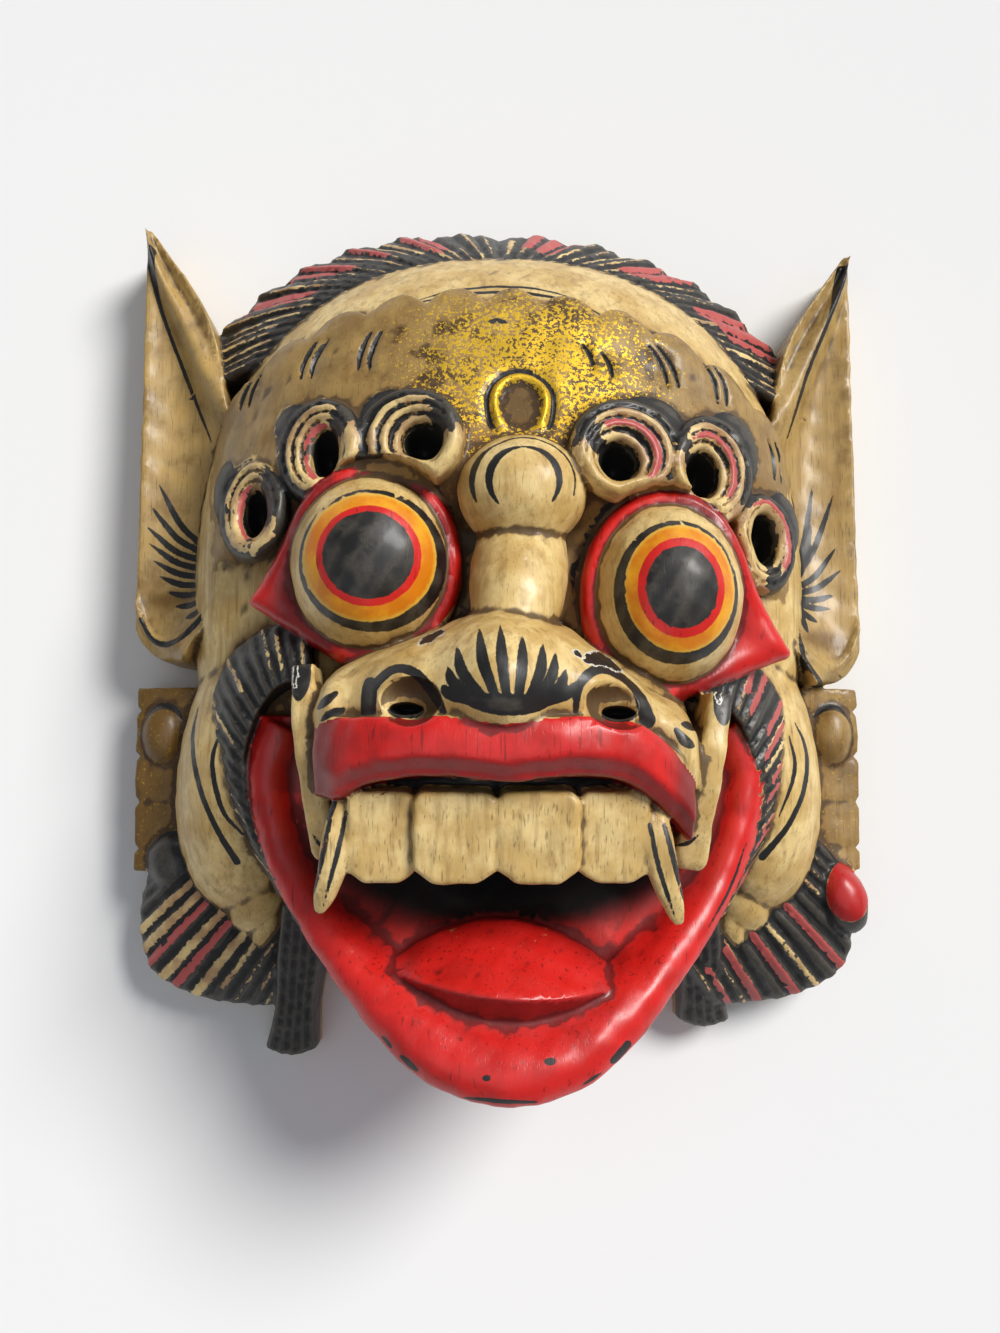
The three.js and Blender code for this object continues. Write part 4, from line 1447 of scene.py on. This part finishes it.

# %% [markdown]
# ## Mouth and back
# The mouth is red, with black paint on the gum behind the teeth and painted shade that blackens
# its depth, which makes it look deeper than it is cut. Tones without an edge, such as the
# painted shade, the dark red and the stains, are kept as amounts. The hollow behind was never
# painted, so there every paint is kept off the bare wood.

# %% Mouth and lips
# ---- black paint on the gum at the back, painted shade that blackens the depth of the mouth,
# ---- and dark red at the sides and under the edges
in_mouth = field("mouth")
lay("red", in_mouth)
round_ = np.hypot(x / 50, (y + 62) / 23)
inside_jaw = (FAR["tongue"] > 0.8) & (FAR["teeth"] > 2.5) & (FAR["tendril"] > 0.8) & (z < 82)
# ---- painted shade: near black that grows towards the back of the mouth, behind the tongue
shade = (1 - steps(round_, 0.85, 1.32)) * steps(y, -88, -82)
dark = np.where(inside_jaw & (y < -38), shade, 0)
# ---- painted shade darkens the sunk plate in the middle of the horseshoe too
dark[inner_plate] = 0.35
lay("black", in_mouth, (y > -60) & (z > 60) & (np.abs(x) < 50))
# ---- painted shade in dark red under the upper lip where it faces down, below the keel of the ----
# tongue and in the corners of the mouth; the ends of the upper lip are darker too, and the ----
# comma has its own dark red paint
on_lip = (FAR["red"] < 1.0) & (z > 86) & (y < -26) & (y > -60)
lip_shade = np.maximum(0.75 * steps(np.abs(x + 0.5), 38, 45),
                       0.65 * steps(-normal[:, 1], 0.35, 0.8))
keel_bow = np.maximum(0, 1 - ((x - TONGUE_X) / TONGUE_HALF) ** 2)
keel_shade = 0.62 * steps(tongue_y(x, keel_bow, KEEL) - y, -0.6, 0.6)
corner = (FAR["red"] < 1.5) & (np.abs(x) > 46) & (y > -48) & (z < 80)
corner_shade = 0.6 * steps(70 - np.abs(x), 2, 14)
for part, amount in ((on_lip, lip_shade), (FAR["tongue"] < 0.7, keel_shade),
                     (comma > -1, 0.35), (corner, corner_shade)):
    maroon_and_shade = np.maximum(maroon_and_shade, np.where(part, amount, 0))
tell_paint("red", "black")

# %% The back
# ---- bare wood with open pores in the hollow and under the rim
in_hollow = np.linalg.norm((place - BOWL) / BOWL_RADII, axis=1) < 1.015
bare_back = in_hollow | ((z < 1.0) & (normal[:, 2] < -0.5))
print(f"{bare_back.sum()} vertices of bare wood at the back")

# %% Keeping the fields on the mesh
FIELDS = PAINT | {"gold": gold, "stain_and_shade": stain_and_shade, "dark": dark, "maroon_and_shade": maroon_and_shade,
                  "grain": grain, "hollow_fine": fine_hollow, "hollow_wide": wide_hollow}
for hollow in (fine_hollow, wide_hollow):
    hollow[field("ear") > 0] *= 0.3
BARE_WOOD = {"gold": 0, "dark": 0, "maroon_and_shade": 0, "stain_and_shade": 0.8, "grain": 1, "hollow_fine": 0,
             "hollow_wide": 0}
for name, values in FIELDS.items():
    values = np.where(bare_back, BARE_WOOD.get(name, -REACH), values)
    attribute = mask.data.attributes.new(name, "FLOAT", "POINT")
    attribute.data.foreach_set("value", values.astype(np.float32))
for name in ("lock", "along"):
    if name in mask.data.attributes:
        mask.data.attributes.remove(mask.data.attributes[name])
mask.data.transform(Matrix.Scale(MM, 4))
print("fields:", ", ".join(FIELDS))

# %% [markdown]
# ## Painted wood
# The mask is light tropical hardwood, brushed with gesso, gilded with leaf and painted with
# gloss colours that age has made satin. The eye sees pores and the streaks of the grain
# through the coats, brown dirt in the hollows and worn edges. One material holds every coat
# in the order that the painter lays them, because they all lie on one skin: cream, gold
# leaf, amber, red and lamp black, each with a brushy edge, then the chips. Dry oil paint has
# an index of about 1.5, which the varnish keeps. Wood grain runs along Y.

# %% Painted wood
CREAM, CREAM_LIGHT, OCHRE, UMBER = "#c4a260", "#dfc486", "#8a6832", "#38230e"
RED, RED_DEEP, RED_DARK, CORAL = "#cc1d18", "#96150f", "#5a0c0e", "#b4504c"
BLACK, GREY, TAN, PAINTED_SHADE_BLACK = "#121110", "#4e483e", "#a8845a", "#080404"
AMBER, SAFFRON, YELLOW = "#d27800", "#e3a012", "#d9a83c"
LEAF, BRONZE, GESSO = "#e0b62c", "#654712", "#dcd8cc"


def linear(text):
    """An sRGB hex colour as linear RGBA."""
    parts = [int(text[i:i + 2], 16) / 255 for i in (1, 3, 5)]
    return (*((c / 12.92 if c <= 0.04045 else ((c + 0.055) / 1.055) ** 2.4) for c in parts), 1.0)


material = bpy.data.materials.new("gesso_paint_and_leaf_on_wood")
material.use_nodes = True
TREE = material.node_tree
TREE.nodes.clear()
# ---- inputs by number: Mix 0 share, 2 and 3 values or 6 and 7 colours; Map Range 0 value,
# ---- 1 and 2 from, 3 and 4 to; Math 0, 1 and 2 in the order of the sum
NOISE, RANGE, MIX, MATH = (f"ShaderNode{kind}" for kind in ("TexNoise", "MapRange", "Mix", "Math"))
COLOUR = {"out": 2, "data_type": "RGBA"}
STEP = {"interpolation_type": "SMOOTHSTEP"}
TIMES, TIMES_PLUS = {"operation": "MULTIPLY"}, {"operation": "MULTIPLY_ADD"}


def add(kind, links=None, out=0, **settings):
    """Adds a node with its settings; links gives each input a value or another output."""
    made = TREE.nodes.new(kind)
    for key, value in settings.items():
        setattr(made, key, value)
    for key, value in (links or {}).items():
        if isinstance(value, bpy.types.NodeSocket):
            TREE.links.new(value, made.inputs[key])
        else:
            made.inputs[key].default_value = value
    return made.outputs[out] if made.outputs else made


print(f"cream is {', '.join(f'{c:.3f}' for c in linear(CREAM)[:3])} in linear light")

# %% Grain, blotches and fields
# ---- the size of each pattern in millimetres: bristle marks 1.6, pores 0.5, streaks of the
# ---- wood 2.2, dirt from hands 11, flecks 1.1, cracks 1.0 and marks of the knife 6. Real
# ---- pores are about 0.1 mm wide, and are drawn as coarse as they need to show
POINT = add("ShaderNodeTexCoord", out=3)
ALONG_GRAIN = 0.07
GRAIN_POINT = add("ShaderNodeMapping", {0: POINT, 3: (1.0, ALONG_GRAIN, 1.0)})
FIELD = {name: add("ShaderNodeAttribute", out=2, attribute_name=name) for name in FIELDS}
BRISTLE, PORE, STREAK, BLOTCH, SPECK, CRACK, KNIFE = (
    add(NOISE, {"Vector": point, "Scale": 1 / (size * MM), "Detail": detail, "Roughness": rough})
    for point, size, detail, rough in (
        (POINT, 1.6, 3.0, 0.6), (GRAIN_POINT, 0.5, 2.0, 0.5), (GRAIN_POINT, 2.2, 3.0, 0.5),
        (POINT, 11, 4.0, 0.6), (POINT, 1.1, 3.0, 0.7), (GRAIN_POINT, 1.0, 2.0, 0.5),
        (POINT, 6, 1.0, 0.5)))
HOLLOW = add(RANGE, {0: FIELD["hollow_wide"], 1: 0.0, 2: 0.9}, **STEP)
CREASE = add(RANGE, {0: FIELD["hollow_fine"], 1: 0.02, 2: 0.13}, **STEP)
EDGE = add(RANGE, {0: FIELD["hollow_fine"], 1: -0.03, 2: -0.14}, **STEP)


def coverage(name, wobble=0.5, soft=0.13):
    """Where a paint lies: its field in millimetres with a brushy edge."""
    edge = add(MATH, {0: BRISTLE, 1: wobble * 2, 2: -wobble}, **TIMES_PLUS)
    field_ = add(MATH, {0: FIELD[name], 1: edge}, operation="ADD")
    return add(RANGE, {0: field_, 1: -soft, 2: soft}, **STEP)


print(f"{len(FIELD)} fields and 7 patterns")

# %% Cream gesso, browned in its hollows, pores and stains, and by painted shade
light_patch = add(RANGE, {0: BLOTCH, 1: 0.38, 2: 0.66}, **STEP)
colour = add(MIX, {0: light_patch, 6: linear(CREAM), 7: linear(CREAM_LIGHT)}, **COLOUR)
streaks = add(RANGE, {0: STREAK, 1: 0.46, 2: 0.74, 4: 0.5}, **STEP)
# ---- the stain amount also holds the painted shade on the left ear
soiled_and_shaded = add(MATH, {0: FIELD["stain_and_shade"], 1: 0.2, 2: BLOTCH}, **TIMES_PLUS)
soiled_and_shaded = add(RANGE, {0: soiled_and_shaded, 1: 0.6, 2: 0.9, 4: 0.85}, **STEP)
bronzed_and_shaded = add(RANGE, {0: FIELD["stain_and_shade"], 1: 0.5, 2: 2.2, 4: 0.95}, **STEP)
plain = add(MATH, {0: FIELD["grain"], 1: -0.6, 2: 0.9}, **TIMES_PLUS)
browned = add(MATH, {0: HOLLOW, 1: plain}, **TIMES)
creased = add(MATH, {0: CREASE, 1: 0.8}, **TIMES)
pored = add(RANGE, {0: PORE, 1: 0.57, 2: 0.72}, **STEP)
pore_share = add(MATH, {0: FIELD["grain"], 1: 0.12, 2: 0.35}, **TIMES_PLUS)
pored = add(MATH, {0: pored, 1: pore_share}, **TIMES)
for share, dirt_and_shade in ((streaks, OCHRE), (soiled_and_shaded, OCHRE), (bronzed_and_shaded, BRONZE), (browned, OCHRE),
                    (creased, UMBER), (pored, UMBER)):
    colour = add(MIX, {0: share, 6: colour, 7: linear(dirt_and_shade)}, **COLOUR)
print(f"gesso: {len(TREE.nodes)} nodes so far")

# %% Gold leaf in flakes, with dark patches where it is rubbed off
rubbed = add(MATH, {0: FIELD["gold"], 1: 0.16, 2: BLOTCH}, **TIMES_PLUS)
rubbed = add(RANGE, {0: rubbed, 1: 0.62, 2: 0.7, 4: 0.75}, **STEP)
on_leaf = add(RANGE, {0: FIELD["gold"], 1: 0.05, 2: 0.25}, **STEP)
rubbed = add(MATH, {0: rubbed, 1: on_leaf}, **TIMES)
colour = add(MIX, {0: rubbed, 6: colour, 7: linear(UMBER)}, **COLOUR)
flakes = add(MATH, {0: FIELD["gold"], 1: 0.2, 2: SPECK}, **TIMES_PLUS)
flakes = add(RANGE, {0: flakes, 1: 0.64, 2: 0.69}, **STEP)
flakes = add(MATH, {0: flakes, 1: on_leaf}, **TIMES)
colour = add(MIX, {0: flakes, 6: colour, 7: linear(LEAF)}, **COLOUR)
print(f"leaf: {len(TREE.nodes)} nodes so far")

# %% The colours of the eyes
colour = add(MIX, {0: coverage("yellow", 0.2), 6: colour, 7: linear(YELLOW)}, **COLOUR)
amber_paint = add(MIX, {0: light_patch, 6: linear(AMBER), 7: linear(SAFFRON)}, **COLOUR)
colour = add(MIX, {0: coverage("amber", 0.5, 0.5), 6: colour, 7: amber_paint}, **COLOUR)
print(f"eyes: {len(TREE.nodes)} nodes so far")

# %% Red lacquer, darker in patches, cracks and creases, and with painted shade in dark red
deep = add(RANGE, {0: BLOTCH, 1: 0.42, 2: 0.75, 4: 0.55}, **STEP)
cracks = add(RANGE, {0: CRACK, 1: 0.62, 2: 0.7, 4: 0.55}, **STEP)
spots = add(RANGE, {0: SPECK, 1: 0.73, 2: 0.78, 4: 0.7}, **STEP)
red_paint = linear(RED)
for share, shade in ((deep, RED_DEEP), (cracks, RED_DARK), (creased, RED_DARK),
                     (FIELD["maroon_and_shade"], RED_DARK), (spots, UMBER)):
    red_paint = add(MIX, {0: share, 6: red_paint, 7: linear(shade)}, **COLOUR)
red_cover = coverage("red", 0.25)
colour = add(MIX, {0: red_cover, 6: colour, 7: red_paint}, **COLOUR)
print(f"red: {len(TREE.nodes)} nodes so far")

# %% Lamp black, worn to grey on its edges, the pale and red strokes over it, and painted shade
worn = add(MATH, {0: EDGE, 1: SPECK}, **TIMES)
black_paint = add(MIX, {0: worn, 6: linear(BLACK), 7: linear(GREY)}, **COLOUR)
black_cover = coverage("black", 0.25)
colour = add(MIX, {0: black_cover, 6: colour, 7: black_paint}, **COLOUR)
pale_paint = add(MIX, {0: light_patch, 6: linear(TAN), 7: linear(CREAM_LIGHT)}, **COLOUR)
pale_paint = add(MIX, {0: CREASE, 6: pale_paint, 7: linear(OCHRE)}, **COLOUR)
# ---- the last layer is painted shade, near black in the depth of the mouth
for share, paint in ((coverage("lift", 0.7), pale_paint), (coverage("red_top", 0.6), linear(CORAL)),
                     (FIELD["dark"], linear(PAINTED_SHADE_BLACK))):
    colour = add(MIX, {0: share, 6: colour, 7: paint}, **COLOUR)
print(f"paints: {len(TREE.nodes)} nodes so far")

# %% Chips: bare dark wood inside a torn rim of white gesso
flaked = coverage("chip", 1.3, 0.1)
bare = add(MATH, {0: FIELD["chip"], 1: 0.3}, operation="SUBTRACT")
bare = add(MATH, {0: BRISTLE, 1: 2.2, 2: bare}, **TIMES_PLUS)
bare = add(RANGE, {0: bare, 1: 1.0, 2: 1.25}, **STEP)
torn = add(MIX, {0: bare, 6: linear(GESSO), 7: linear(BLACK)}, **COLOUR)
colour = add(MIX, {0: flaked, 6: colour, 7: torn}, **COLOUR)
print(f"chips: {len(TREE.nodes)} nodes so far")

# %% Varnish and relief
# ---- satin where it is handled, duller on the black and in the hollows
gloss = add(MIX, {0: red_cover, 2: 0.46, 3: 0.38}, data_type="FLOAT")
gloss = add(MIX, {0: black_cover, 2: gloss, 3: 0.48}, data_type="FLOAT")
uneven = add(RANGE, {0: KNIFE, 1: 0.3, 2: 0.7, 3: 0.92, 4: 1.15})
gloss = add(MATH, {0: gloss, 1: uneven}, **TIMES)
gloss = add(MATH, {0: HOLLOW, 1: 0.25, 2: gloss}, **TIMES_PLUS)
gloss = add(MATH, {0: FIELD["dark"], 1: 0.5, 2: gloss}, **TIMES_PLUS)
bare_leaf = add(MATH, {0: 1.0, 1: black_cover}, operation="SUBTRACT")
metal = add(MATH, {0: flakes, 1: bare_leaf}, **TIMES)
metal = add(MATH, {0: metal, 1: 0.6}, **TIMES)
relief = KNIFE
for height, share in ((pored, -0.5), (STREAK, 0.5), (flakes, 0.4), (flaked, -1.2)):
    relief = add(MATH, {0: height, 1: share, 2: relief}, **TIMES_PLUS)
bump = add("ShaderNodeBump", {"Strength": 0.4, "Distance": 0.35 * MM, "Height": relief})
shader = add("ShaderNodeBsdfPrincipled", {
    "Base Color": colour, "Roughness": gloss, "Metallic": metal, "Normal": bump,
    "IOR": 1.5, "Coat Weight": 0.15, "Coat Roughness": 0.2})
add("ShaderNodeOutputMaterial", {0: shader})
mask.data.materials.clear()
mask.data.materials.append(material)
mask.data.shade_smooth()
print(f"{len(TREE.nodes)} nodes in {material.name}")

# %% [markdown]
# ## Handing over
# The mask is one piece that rides on the root body and stands in for the CAD node.

# %% Handing over
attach(mask, "root")
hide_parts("mask")
